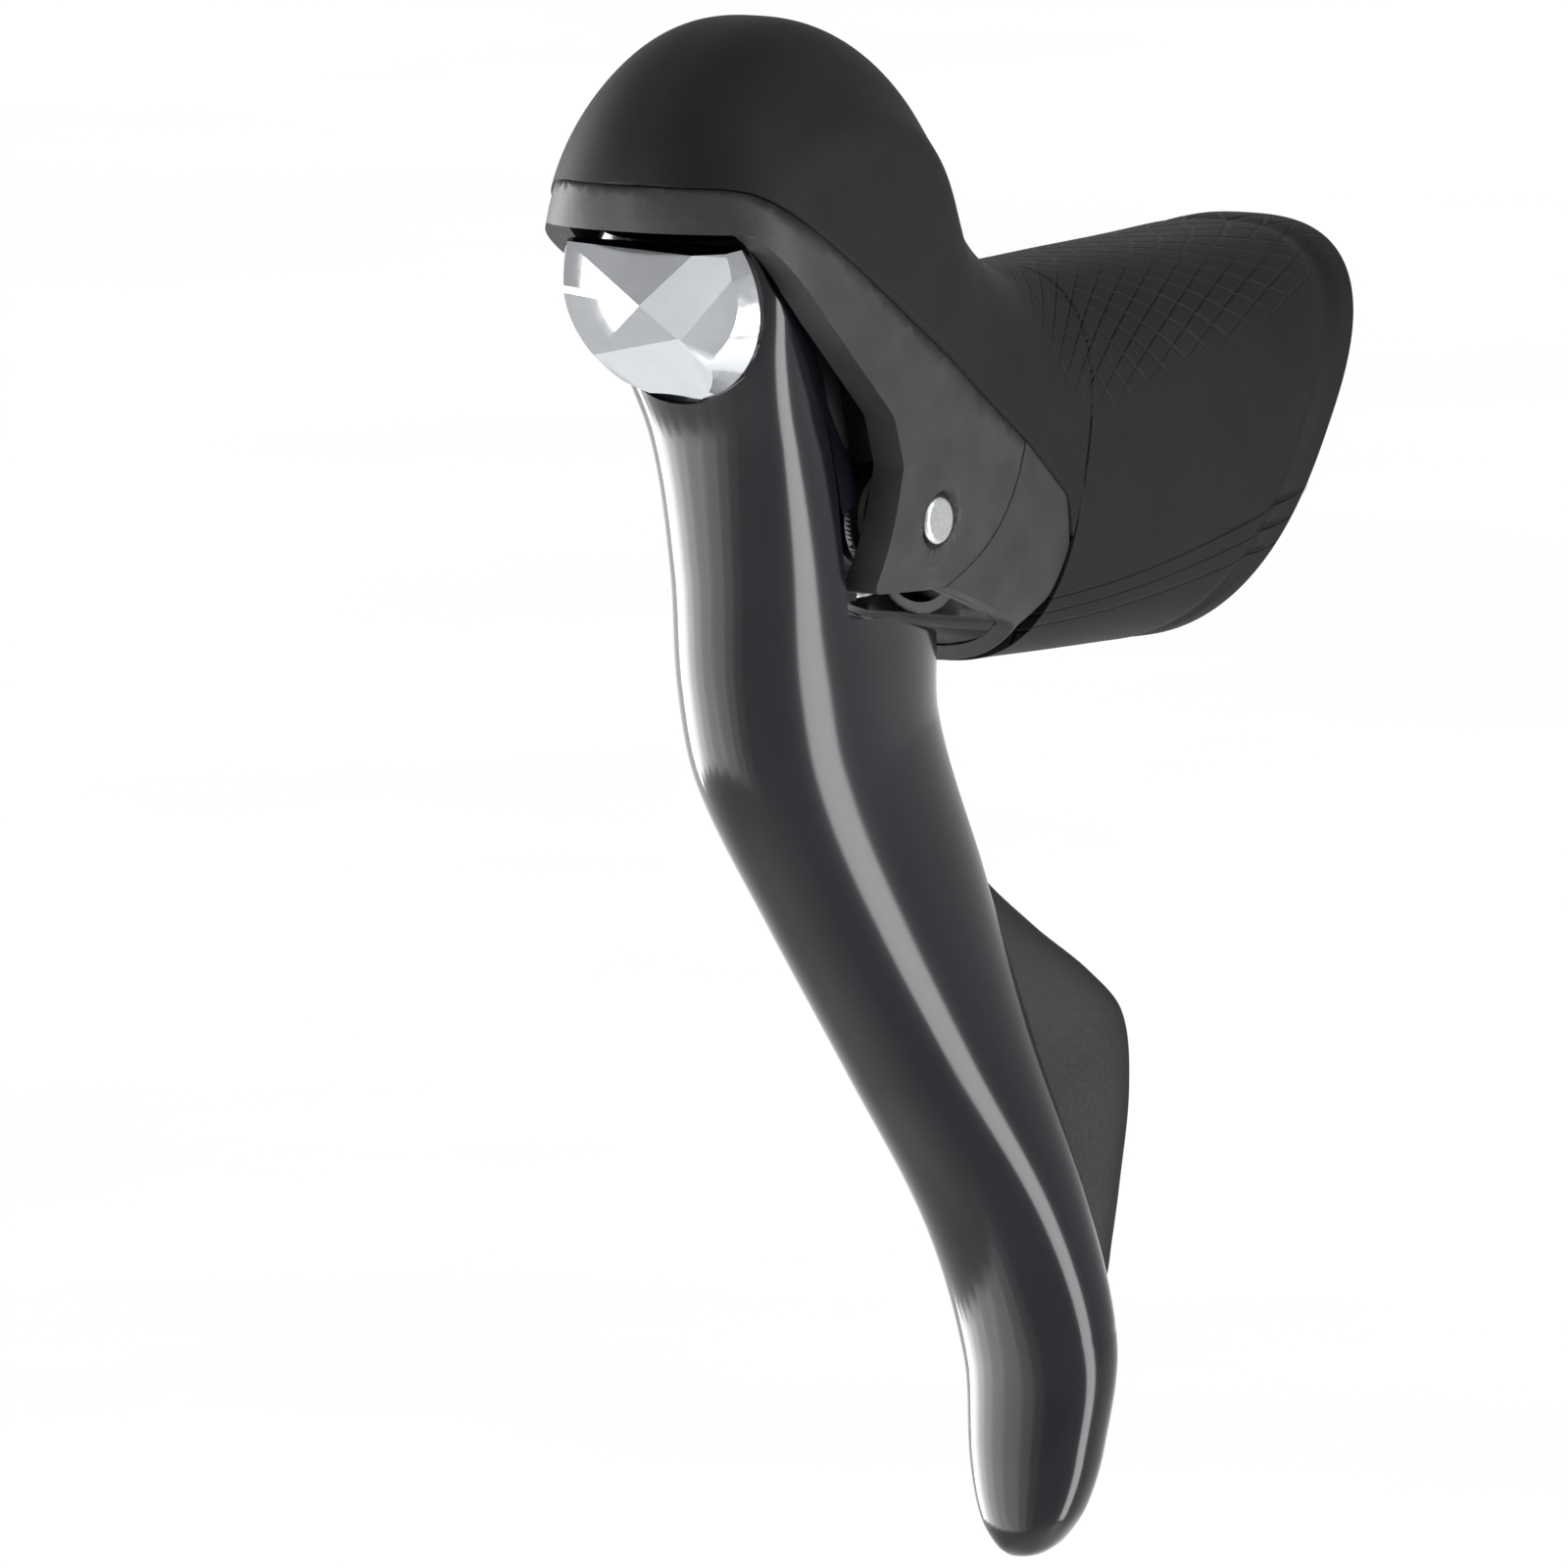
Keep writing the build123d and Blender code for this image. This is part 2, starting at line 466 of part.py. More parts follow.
def nameplate():
    """The faceted plate over the front end of the shift axis: five facets that meet at two corners."""
    blank = SHIFT * loft([Circle(NAMEPLATE_RADIUS), Pos(0, 0, NAMEPLATE_RIM) * Circle(NAMEPLATE_RADIUS),
                          Pos(0, 0, NAMEPLATE_DEPTH) * Circle(NAMEPLATE_RADIUS * 0.66)], ruled=True)
    crown, corner = (0.9, 0.5, 7.0), (5.8, -3.6, 6.65)
    facets = [
        (crown, (-0.12, 0.76, 1.0)),
        (crown, (0.30, 0.27, 1.0)),
        (crown, (-0.18, -0.28, 1.0)),
        (corner, (0.53, 0.06, 1.0)),
        (corner, (-0.10, -0.57, 1.0)),
    ]
    for origin, normal in facets:
        blank -= SHIFT * Plane(origin, z_dir=normal) * Pos(0, 0, FAR / 4) * Box(FAR, FAR, FAR / 2)
    blank -= SHIFT * Pos(0, TOP_TRIM + FAR / 2, 0) * Box(FAR, FAR, FAR)
    return blank - stacked(SPINDLE_RADIUS + SLIP, -2.0 - SLIP, 4)


def smoothed(rows, count):
    """Rows at even steps of their first value, on a smooth curve through the given rows."""
    slopes = []
    for k in range(len(rows)):
        before, after = rows[max(k - 1, 0)], rows[min(k + 1, len(rows) - 1)]
        slopes.append([(b - a) / (after[0] - before[0]) for a, b in zip(before, after)])
    result = []
    for step in range(count):
        place = mix(rows[0][0], rows[-1][0], step / (count - 1))
        k = max(i for i in range(len(rows) - 1) if rows[i][0] <= place + 1e-9)
        span = rows[k + 1][0] - rows[k][0]
        u = (place - rows[k][0]) / span
        weights = (2 * u**3 - 3 * u**2 + 1, (u**3 - 2 * u**2 + u) * span,
                   3 * u**2 - 2 * u**3, (u**3 - u**2) * span)
        parts = zip(rows[k], slopes[k], rows[k + 1], slopes[k + 1])
        result.append([sum(w * value for w, value in zip(weights, row)) for row in parts])
    return result


def blade_sections():
    """Drop, front, rear, middle across and half width of each section, down the blade."""
    body = smoothed([
        (0.0, -1.6, 13.0, 0.4, HEAD_RADIUS - 0.4),
        (20.0, -0.6, 18.0, 1.4, HEAD_RADIUS - 2.5),
        (36.0, -1.2, 27.0, 0.8, HEAD_RADIUS - 2.1),
        (50.0, -2.4, 36.0, -0.2, 11.8),
        (62.0, -2.2, 33.6, 0.2, 11.4),
        (80.0, 1.4, 33.2, 3.8, 10.2),
        (100.0, 5.8, 30.4, 9.0, 9.5),
        (120.0, 9.6, 26.8, 15.0, 9.5),
        (136.0, 9.0, 23.4, 18.4, 9.4),
        (150.0, 4.4, 16.6, 18.8, 7.7),
    ], 15)
    return body + [(155.0, 3.4, 12.8, 18.8, 5.6), (BLADE_DROP, 4.6, 9.8, 18.8, 2.2)]


def lofted(sections, count=BLADE_POINTS):
    """A loft down the blade through ovals given by drop, middle behind, middle across and both half sizes."""
    wires = []
    for drop, behind, middle, half_depth, half_width, twist in sections:
        points = []
        for k in range(count):
            angle = 2 * pi * k / count
            depth = half_depth * copysign(abs(cos(angle)) ** (2 / BLADE_FULLNESS), cos(angle))
            width = half_width * copysign(abs(sin(angle)) ** (2 / BLADE_FULLNESS), sin(angle))
            turn = radians(twist)
            points.append(Vector(middle + width * cos(turn) + depth * sin(turn), -drop,
                                 -behind - depth * cos(turn) + width * sin(turn)))
        wires.append(Wire([Edge.make_spline(points, periodic=True)]))
    return SHIFT.from_local_coords(Solid.make_loft(wires))


def blade_form():
    """The blade's whole outer form, before its back is opened."""
    return lofted([(drop, (front + rear) / 2, middle, (rear - front) / 2, half, 0.0)
                   for drop, front, rear, middle, half in blade_sections()])


def lever_blade():
    """Lever A: a round head on the shift axis and a long flared blade, hollow behind for the paddle."""
    blade = blade_form() + stacked(HEAD_RADIUS, HEAD_START, HEAD_LENGTH)
    heel = [(PIN_X + 4, PIN_Z - 11.4), (PIN_X - 10.3, PIN_Z - 14.1), (PIN_X - 22, PIN_Z - 18.5),
            (PIN_X - FAR, PIN_Z - 18.5)]
    back = [shift_point(-FAR, HEAD_START + HEAD_LENGTH),
            shift_point(HEAD_DROP - 2.5, HEAD_START + HEAD_LENGTH), *heel, (PIN_X - FAR, FAR)]
    blade -= prism(back)
    blade -= stacked(NAMEPLATE_RADIUS + FACE_GAP, HEAD_START - 20, 20)
    blade -= SHIFT * Pos(0, TOP_TRIM + FAR / 2, 0) * Box(FAR, FAR, FAR)
    channel = prism([shift_point(HEAD_DROP - 6, CHANNEL_FRONT), shift_point(84, CHANNEL_FRONT),
                     shift_point(106, CHANNEL_FRONT + 4), shift_point(134, 22), shift_point(137, 60),
                     shift_point(HEAD_DROP - 6, 60)])
    inside = [(8.8, -HEAD_DROP + 6), (9.0, -62), (11.6, -80), (16.2, -100), (22.0, -120), (24.4, -138),
              (-FAR, -138), (-FAR, -HEAD_DROP + 6)]
    channel &= SHIFT * Pos(0, 0, -FAR) * extrude(make_face(Polyline(*inside, close=True)), 2 * FAR)
    blade -= channel
    return blade - stacked(SPINDLE_RADIUS + RUNNING_GAP, HEAD_START - 1, HEAD_LENGTH + 2)


def side_guard():
    """The guard on the support's outer side, which carries the blade's form back to the pivot."""
    front = HEAD_START + HEAD_LENGTH + FACE_GAP
    outline = [shift_point(-2, front), shift_point(GUARD_DROP, front),
               shift_point(GUARD_DROP, GUARD_BACK - 2), shift_point(GUARD_DROP - 6, GUARD_BACK),
               shift_point(-2, GUARD_BACK)]
    return blade_form() & prism(outline, near=GUARD_INNER_Y, far=FAR)


def shift_paddle():
    """Lever B: a boss and a flat arm in front of the support, and a wide plate behind the blade."""
    boss = stacked(PADDLE_BOSS_RADIUS, PADDLE_START, PADDLE_BOSS_LENGTH)
    arm = SHIFT * Pos(0, -26, -PADDLE_START - PADDLE_BOSS_LENGTH / 2) * Box(9, 52, PADDLE_BOSS_LENGTH)
    plate = lofted(smoothed([
        (46.0, 13.2, 0.0, 1.7, 4.2, 0.0),
        (57.0, 18.0, 1.0, 4.6, 2.6, 2.0),
        (70.0, 22.5, 4.2, 5.8, 2.1, 8.0),
        (82.0, 22.9, 7.1, 8.0, 2.1, 14.0),
        (91.0, 26.7, 9.1, 10.0, 2.1, 18.0),
        (98.0, 30.2, 10.6, 12.0, 2.1, 22.0),
        (104.0, 32.3, 12.2, 12.6, 2.1, 24.0),
        (112.0, 31.1, 14.7, 10.4, 2.0, 25.0),
        (122.0, 28.6, 17.0, 6.6, 1.9, 25.0),
        (128.0, 27.2, 17.8, 4.6, 1.6, 25.0),
        (133.0, 26.2, 18.6, 2.6, 1.3, 25.0),
    ], 9), PADDLE_POINTS)
    plate -= stacked(FAR, PADDLE_START - 20, 20)
    bore = stacked(SPINDLE_RADIUS + RUNNING_GAP, PADDLE_START - 1, PADDLE_BOSS_LENGTH + 2)
    return boss + arm + plate - bore


def reel_ratchet():
    """The toothed plate that indexes the reel."""
    plate = stacked(RATCHET_RADIUS, RATCHET_START, RATCHET_THICKNESS)
    for k in range(RATCHET_TEETH // 2):
        turn = Rot(0, 0, 360 * k / RATCHET_TEETH - 90)
        notch = turn * Pos(RATCHET_RADIUS, 0, -RATCHET_START - RATCHET_THICKNESS / 2)
        notch *= Rot(0, 0, 45) * Box(1.4, 1.4, 4)
        plate -= SHIFT * notch
    return plate - stacked(SPINDLE_RADIUS + RUNNING_GAP, RATCHET_START - 1, RATCHET_THICKNESS + 2)


def cable_reel():
    """The reel that winds the inner cable, grooved round its rim."""
    reel = stacked(REEL_RADIUS, REEL_START, REEL_LENGTH)
    groove = stacked(REEL_RADIUS + 1, REEL_START + REEL_LENGTH / 2 - CABLE_RADIUS, 2 * CABLE_RADIUS)
    groove -= stacked(REEL_RADIUS - 2 * CABLE_RADIUS, REEL_START, REEL_LENGTH)
    return reel - groove - stacked(SPINDLE_RADIUS + RUNNING_GAP, REEL_START - 1, REEL_LENGTH + 2)


def master_cylinder():
    """The aluminium sleeve the piston runs in, closed at its rear end but for the outlet."""
    sleeve = along(CYLINDER_Z, CYLINDER_RADIUS, CYLINDER_REAR_X, CYLINDER_FRONT_X)
    sleeve -= along(CYLINDER_Z, PISTON_RADIUS + RUNNING_GAP, CYLINDER_REAR_X + 2, CYLINDER_FRONT_X + 1)
    return sleeve - along(CYLINDER_Z, 1.2, CYLINDER_REAR_X - 1, CYLINDER_REAR_X + 3)


def piston():
    """The piston, with two seal grooves and a seat for the push rod."""
    body = along(CYLINDER_Z, PISTON_RADIUS, PISTON_FRONT_X - PISTON_LENGTH, PISTON_FRONT_X)
    for x in SEAL_PLACES:
        ring = along(CYLINDER_Z, PISTON_RADIUS + 1, x, x + SEAL_WIDTH)
        body -= ring - along(CYLINDER_Z, SEAL_INNER_RADIUS - SLIP, x, x + SEAL_WIDTH)
    return body - along(CYLINDER_Z, ROD_RADIUS + SLIP, PISTON_FRONT_X - 3, PISTON_FRONT_X + 1)


def piston_seals():
    """The two rubber rings on the piston."""
    rings = []
    for x in SEAL_PLACES:
        ring = along(CYLINDER_Z, PISTON_RADIUS + RUNNING_GAP / 2, x + SLIP, x + SEAL_WIDTH - SLIP)
        rings.append(ring - along(CYLINDER_Z, SEAL_INNER_RADIUS, x - 1, x + SEAL_WIDTH + 1))
    return Compound(rings)


def push_rod():
    """The rod from the support's lug to the piston, with a broad head in front."""
    rod = along(CYLINDER_Z, ROD_RADIUS, PISTON_FRONT_X - 3 + SLIP, ROD_TIP_X - 2)
    return rod + along(CYLINDER_Z, ROD_RADIUS + 1.4, ROD_TIP_X - 2, ROD_TIP_X)


def reach_screw():
    """The screw through the lug that sets the blade's reach."""
    screw = along(CYLINDER_Z, REACH_SCREW_RADIUS, ROD_TIP_X + FACE_GAP, LUG_REAR_X + 8)
    return chamfer(screw.edges(), 0.4)


def reservoir_diaphragm():
    """The rubber diaphragm under the reservoir's cover."""
    plate = Pos(RESERVOIR_X, -RESERVOIR_FACE + COVER_THICKNESS + 0.5, RESERVOIR_Z)
    return plate * Box(RESERVOIR_LENGTH + 2, 0.9, RESERVOIR_HEIGHT + 2.4)


def reservoir_cover():
    """The reservoir's cover plate on the inner side."""
    plate = Box(RESERVOIR_LENGTH + 11, COVER_THICKNESS, RESERVOIR_HEIGHT + 2.4)
    plate = fillet(plate.edges().filter_by(Axis.Y), 2)
    plate = Pos(RESERVOIR_X, -RESERVOIR_FACE + COVER_THICKNESS / 2, RESERVOIR_Z) * plate
    for end in (-1, 1):
        x = RESERVOIR_X + end * (RESERVOIR_LENGTH / 2 + 3)
        plate -= across(x, RESERVOIR_Z, 1.1, -FAR, 0)
    return plate


def cover_screws():
    """The two screws of the reservoir's cover."""
    screws = []
    for end in (-1, 1):
        x = RESERVOIR_X + end * (RESERVOIR_LENGTH / 2 + 3)
        screw = across(x, RESERVOIR_Z, 0.85, -RESERVOIR_FACE, -RESERVOIR_FACE + 6)
        screws.append(screw + across(x, RESERVOIR_Z, 1.6, -RESERVOIR_FACE - 0.6, -RESERVOIR_FACE))
    return Compound(screws)


def clamp_band():
    """The steel strap round the bar, its two legs running forward to the cross nut."""
    outer = BAR_RADIUS + BAND_THICKNESS
    ring = Cylinder(outer, BAND_WIDTH) - Cylinder(BAR_RADIUS, BAND_WIDTH + 2)
    ring -= Pos(FAR / 2, 0, 0) * Box(FAR, FAR, FAR)
    strap = ring
    for side in (-1, 1):
        leg_end = CROSS_NUT_REACH + CROSS_NUT_RADIUS + 1.2
        y = side * (BAR_RADIUS + BAND_THICKNESS / 2)
        leg = Pos(leg_end / 2, y, 0) * Box(leg_end, BAND_THICKNESS, BAND_WIDTH)
        strap += leg
    strap -= Pos(CROSS_NUT_REACH, 0, 0) * Rot(90, 0, 0) * Cylinder(CROSS_NUT_RADIUS - 0.4 + SLIP, FAR)
    return BAR * strap


def cross_nut():
    """The round cross nut through both legs of the band, tapped for the clamp bolt."""
    nut = Rot(90, 0, 0) * Cylinder(CROSS_NUT_RADIUS, 2 * (BAR_RADIUS - SLIP))
    nut += Rot(90, 0, 0) * Cylinder(CROSS_NUT_RADIUS - 0.4, 2 * NUT_HALF_LENGTH)
    nut -= Rot(0, 90, 0) * Cylinder(CLAMP_BOLT_RADIUS + SLIP, 4 * CROSS_NUT_RADIUS)
    return BAR * Pos(CROSS_NUT_REACH, 0, 0) * nut


def clamp_bolt():
    """The socket-head bolt that draws the cross nut forward."""
    shank = Pos(HEAD_REACH - CLAMP_BOLT_LENGTH / 2, 0, 0) * Rot(0, 90, 0)
    shank *= Cylinder(CLAMP_BOLT_RADIUS, CLAMP_BOLT_LENGTH)
    head = Pos(HEAD_REACH + CLAMP_BOLT_HEAD_LENGTH / 2, 0, 0) * Rot(0, 90, 0)
    head *= Cylinder(CLAMP_BOLT_HEAD_RADIUS, CLAMP_BOLT_HEAD_LENGTH)
    socket = Pos(HEAD_REACH + 1.8, 0, 0) * Rot(0, 90, 0) * extrude(RegularPolygon(2.3, 6), 4)
    return BAR * (shank + head - socket)


def main():
    os.makedirs("parts", exist_ok=True)
    pieces = {
        "hood": hood(),
        "bracket_body": bracket_body(),
        "lower_cover": lower_cover(),
        "pivot_pin": pivot_pin(),
        "pin_clip": pin_clip(),
        "pin_bushing_outer": pin_bushing(1),
        "pin_bushing_inner": pin_bushing(-1),
        "return_spring": return_spring(),
        "lever_support": lever_support(),
        "shift_spindle": shift_spindle(),
        "spindle_nut": spindle_nut(),
        "nameplate": nameplate(),
        "lever_blade": lever_blade(),
        "side_guard": side_guard(),
        "shift_paddle": shift_paddle(),
        "reel_ratchet": reel_ratchet(),
        "cable_reel": cable_reel(),
        "master_cylinder": master_cylinder(),
        "piston": piston(),
        "piston_seals": piston_seals(),
        "push_rod": push_rod(),
        "reach_screw": reach_screw(),
        "reservoir_diaphragm": reservoir_diaphragm(),
        "reservoir_cover": reservoir_cover(),
        "cover_screws": cover_screws(),
        "clamp_band": clamp_band(),
        "cross_nut": cross_nut(),
        "clamp_bolt": clamp_bolt(),
    }
    for name, piece in pieces.items():
        export_step(piece, f"parts/{name}.step")


if __name__ == "__main__":
    main()
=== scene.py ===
"""Looks of a left-hand brake and shift lever for a drop bar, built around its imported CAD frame.

The frame's axes: +X is forward, +Y outward, +Z up, and the origin is the middle of the handlebar in the
clamp. Sizes here are millimetres, and turn into metres where a mesh is made.
"""

import json
import logging
import math
from abc import ABC, abstractmethod
from dataclasses import dataclass, field
from enum import Enum

import bmesh
import bpy
import numpy as np
from mathutils import Matrix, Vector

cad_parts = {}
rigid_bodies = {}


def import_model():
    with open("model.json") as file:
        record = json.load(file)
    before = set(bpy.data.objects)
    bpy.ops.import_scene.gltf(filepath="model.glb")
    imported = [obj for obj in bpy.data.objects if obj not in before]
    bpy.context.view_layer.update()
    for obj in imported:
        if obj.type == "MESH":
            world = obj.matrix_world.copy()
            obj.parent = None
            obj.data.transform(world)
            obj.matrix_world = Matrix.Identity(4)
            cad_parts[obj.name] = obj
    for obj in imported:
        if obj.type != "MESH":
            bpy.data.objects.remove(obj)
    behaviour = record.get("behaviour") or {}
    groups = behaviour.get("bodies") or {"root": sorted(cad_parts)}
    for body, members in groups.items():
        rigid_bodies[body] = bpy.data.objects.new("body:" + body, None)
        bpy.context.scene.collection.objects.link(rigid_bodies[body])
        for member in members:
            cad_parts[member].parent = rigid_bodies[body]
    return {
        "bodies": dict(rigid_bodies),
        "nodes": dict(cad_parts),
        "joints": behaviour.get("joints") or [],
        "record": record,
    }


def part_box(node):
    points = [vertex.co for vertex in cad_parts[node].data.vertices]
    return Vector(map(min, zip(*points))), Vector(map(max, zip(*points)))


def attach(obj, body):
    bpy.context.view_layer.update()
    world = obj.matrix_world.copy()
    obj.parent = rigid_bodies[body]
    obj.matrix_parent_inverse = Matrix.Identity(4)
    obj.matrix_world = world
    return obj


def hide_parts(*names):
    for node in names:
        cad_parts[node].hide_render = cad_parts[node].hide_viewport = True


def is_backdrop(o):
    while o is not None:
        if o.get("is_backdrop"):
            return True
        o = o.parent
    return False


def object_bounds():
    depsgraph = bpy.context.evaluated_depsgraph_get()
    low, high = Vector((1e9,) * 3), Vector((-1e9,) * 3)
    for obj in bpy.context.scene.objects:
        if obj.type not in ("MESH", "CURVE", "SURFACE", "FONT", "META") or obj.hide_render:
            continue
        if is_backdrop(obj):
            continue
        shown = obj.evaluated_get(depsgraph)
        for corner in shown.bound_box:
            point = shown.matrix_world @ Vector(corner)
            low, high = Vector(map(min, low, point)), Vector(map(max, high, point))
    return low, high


LOG = logging.getLogger("brake_shift_lever")
MM = 0.001
Array = np.ndarray
Piece = bpy.types.Object
Pair = tuple[float, float]
Curve = tuple[Pair, ...]


class Body(Enum):
    """The moving bodies that new pieces ride on."""

    BRACKET = "bracket"
    BRAKE_LEVER = "brake_lever"
    BLADE = "blade"
    PADDLE = "paddle"


class Side(Enum):
    """The two sides of the lever, each with its sign along Y."""

    INNER = -1
    OUTER = 1


# ---------------------------------------------------------------- curves


def smooth_rows(rows: Array, at: Array) -> Array:
    """Values between given rows, on a smooth curve through them.

    Cubic Hermite spans between neighbouring rows, each slope taken from the rows on either side.

    Args:
        rows: one row per place, its first column the place.
        at: the places wanted.

    Returns:
        One row for each place wanted, without the first column.
    """
    place, values = rows[:, 0], rows[:, 1:]
    before = np.maximum(np.arange(len(rows)) - 1, 0)
    after = np.minimum(np.arange(len(rows)) + 1, len(rows) - 1)
    slopes = (values[after] - values[before]) / (place[after] - place[before])[:, None]
    k = np.clip(np.searchsorted(place, at, side="right") - 1, 0, len(rows) - 2)
    span = place[k + 1] - place[k]
    u = np.clip((at - place[k]) / span, 0.0, 1.0)[:, None]
    span = span[:, None]
    start = (2 * u**3 - 3 * u**2 + 1) * values[k] + (u**3 - 2 * u**2 + u) * span * slopes[k]
    return start + (3 * u**2 - 2 * u**3) * values[k + 1] + (u**3 - u**2) * span * slopes[k + 1]


def natural_spline(place: Array, values: Array, at: Array) -> Array:
    """A natural cubic spline through rows of values.

    The second derivatives solve the usual three-banded system with nought at both ends.

    Args:
        place: the rows' places, rising.
        values: one row for each place.
        at: the places wanted.

    Returns:
        One row for each place wanted.
    """
    count = len(place)
    gap = np.diff(place)
    bands = np.zeros((count, count))
    bands[0, 0] = bands[-1, -1] = 1.0
    inner = np.arange(1, count - 1)
    bands[inner, inner - 1], bands[inner, inner + 1] = gap[:-1], gap[1:]
    bands[inner, inner] = 2 * (gap[:-1] + gap[1:])
    slope = np.diff(values, axis=0) / gap[:, None]
    load = np.zeros_like(values)
    load[1:-1] = 6 * np.diff(slope, axis=0)
    curve = np.linalg.solve(bands, load)
    k = np.clip(np.searchsorted(place, at, side="right") - 1, 0, count - 2)
    h, a = gap[k][:, None], (place[k + 1] - at)[:, None]
    b = (at - place[k])[:, None]
    bent = (curve[k] * a**3 + curve[k + 1] * b**3) / (6 * h)
    return bent + (values[k] / h - curve[k] * h / 6) * a + (values[k + 1] / h - curve[k + 1] * h / 6) * b


def rounded_path(corners: list[tuple[float, float, float]], steps: int = 10) -> Array:
    """An open path of straight runs joined by tangent arcs.

    At each inner corner the runs are cut back by the radius over the tangent of half the angle between
    them, and an arc of that radius joins the cuts.

    Args:
        corners: x, z and the radius of each corner.
        steps: points on each arc.

    Returns:
        The path's points, one row each.
    """
    points = [np.array([corners[0][:2]])]
    for (ax, az, _), (bx, bz, radius), (cx, cz, _) in zip(corners, corners[1:], corners[2:]):
        corner = np.array([bx, bz])
        one, two = np.array([ax, az]) - corner, np.array([cx, cz]) - corner
        one, two = one / np.linalg.norm(one), two / np.linalg.norm(two)
        half = math.acos(np.clip(one @ two, -1, 1)) / 2
        middle = (one + two) / np.linalg.norm(one + two)
        centre = corner + middle * radius / math.sin(half)
        start = corner + one * radius / math.tan(half) - centre
        end = corner + two * radius / math.tan(half) - centre
        share = np.linspace(0, 1, steps)[:, None]
        turn = math.pi - 2 * half
        arc = (np.sin((1 - share) * turn) * start + np.sin(share * turn) * end) / math.sin(turn)
        points.append(centre + arc)
    points.append(np.array([corners[-1][:2]]))
    return np.concatenate(points)


def first_crossing(start: Array, end: Array, path: Array) -> Array:
    """How far along each straight line it first crosses a path.

    Each line meets each segment where both shares, from the two-by-two solution of the crossing, lie
    between nought and one; the smallest share along the line is kept.

    Args:
        start: the lines' starts, one row each.
        end: their ends.
        path: the path's points.

    Returns:
        The share along each line, or 1 where it doesn't cross.
    """
    parallel = 1e-9
    line = (end - start)[:, None, :]
    leg = (path[1:] - path[:-1])[None, :, :]
    offset = path[None, :-1, :] - start[:, None, :]
    cross = line[..., 0] * leg[..., 1] - line[..., 1] * leg[..., 0]
    cross = np.where(np.abs(cross) < parallel, parallel, cross)
    along_line = (offset[..., 0] * leg[..., 1] - offset[..., 1] * leg[..., 0]) / cross
    along_leg = (offset[..., 0] * line[..., 1] - offset[..., 1] * line[..., 0]) / cross
    met = (along_leg >= 0) & (along_leg <= 1) & (along_line >= 0) & (along_line <= 1)
    return np.where(met, along_line, 1.0).min(axis=1)


def signed_power(value: Array, power: float) -> Array:
    """Each value's size to a power, with its sign kept."""
    return np.sign(value) * np.abs(value) ** power


def bell(value: Array, middle: float, width: float) -> Array:
    """A bell curve: e to minus the square of the distance from the middle over the width."""
    return np.exp(-(((value - middle) / width) ** 2))


def full_turn(count: int) -> Array:
    """A row of angles evenly round a whole turn, its end left out."""
    return np.linspace(0, 2 * np.pi, count, endpoint=False)[None, :]


# ---------------------------------------------------------------- meshes


def grid_faces(rows: int, columns: int, closed: bool) -> Array:
    """The four-cornered faces of a grid of points.

    Args:
        rows: how many rows of points.
        columns: how many points in a row.
        closed: whether each row's last point joins its first.

    Returns:
        Indices of each face's corners.
    """
    i, j = np.meshgrid(np.arange(rows - 1), np.arange(columns if closed else columns - 1), indexing="ij")
    after = (j + 1) % columns
    corners = (i * columns + j, i * columns + after, (i + 1) * columns + after, (i + 1) * columns + j)
    return np.stack(corners, axis=-1).reshape(-1, 4)


def grid_normals(points: Array) -> Array:
    """Unit normals of a grid, from the cross product of its differences along rows and columns."""
    normal = np.cross(np.gradient(points, axis=1), np.gradient(points, axis=0))
    return normal / np.maximum(np.linalg.norm(normal, axis=-1, keepdims=True), 1e-9)


def weld(piece: Piece, reach: float = 0.004) -> None:
    """Joins points that lie together and turns the faces outwards.

    Args:
        piece: the piece.
        reach: points closer than this, in millimetres, are joined.
    """
    form = bmesh.new()
    form.from_mesh(piece.data)
    bmesh.ops.remove_doubles(form, verts=form.verts, dist=reach * MM)
    bmesh.ops.dissolve_degenerate(form, edges=form.edges, dist=reach * MM / 2)
    bmesh.ops.recalc_face_normals(form, faces=form.faces)
    form.to_mesh(piece.data)
    form.free()


def shade(piece: Piece, sharp: float) -> None:
    """Shades a piece smooth, but for edges sharper than an angle in degrees."""
    piece.data.shade_smooth()
    piece.data.set_sharp_from_angle(angle=math.radians(sharp))


def linked(name: str, data: bpy.types.ID) -> Piece:
    """Puts a mesh, a light or a camera into the scene as an object.

    Args:
        name: the object's name.
        data: what it holds.

    Returns:
        The object, at the origin.
    """
    added = bpy.data.objects.new(name, data)
    bpy.context.scene.collection.objects.link(added)
    return added


def add_object(name: str, vertices: Array, faces: list, sharp: float = 40.0,
               maps: dict[str, Array] | None = None) -> Piece:
    """A mesh object from points in millimetres, welded, with its faces turned outwards.

    Args:
        name: the piece's name.
        vertices: points, one row each.
        faces: indices of each face's corners.
        sharp: edges sharper than this angle, in degrees, stay sharp.
        maps: two values for each vertex, by the map's name.

    Returns:
        The object, at the origin.
    """
    mesh = bpy.data.meshes.new(name)
    mesh.from_pydata((vertices * MM).tolist(), [], faces)
    corners = np.empty(len(mesh.loops), dtype=np.int32)
    mesh.loops.foreach_get("vertex_index", corners)
    for key, values in (maps or {}).items():
        mesh.uv_layers.new(name=key).data.foreach_set("uv", values[corners].astype(np.float32).ravel())
    piece = linked(name, mesh)
    weld(piece)
    shade(piece, sharp)
    return piece


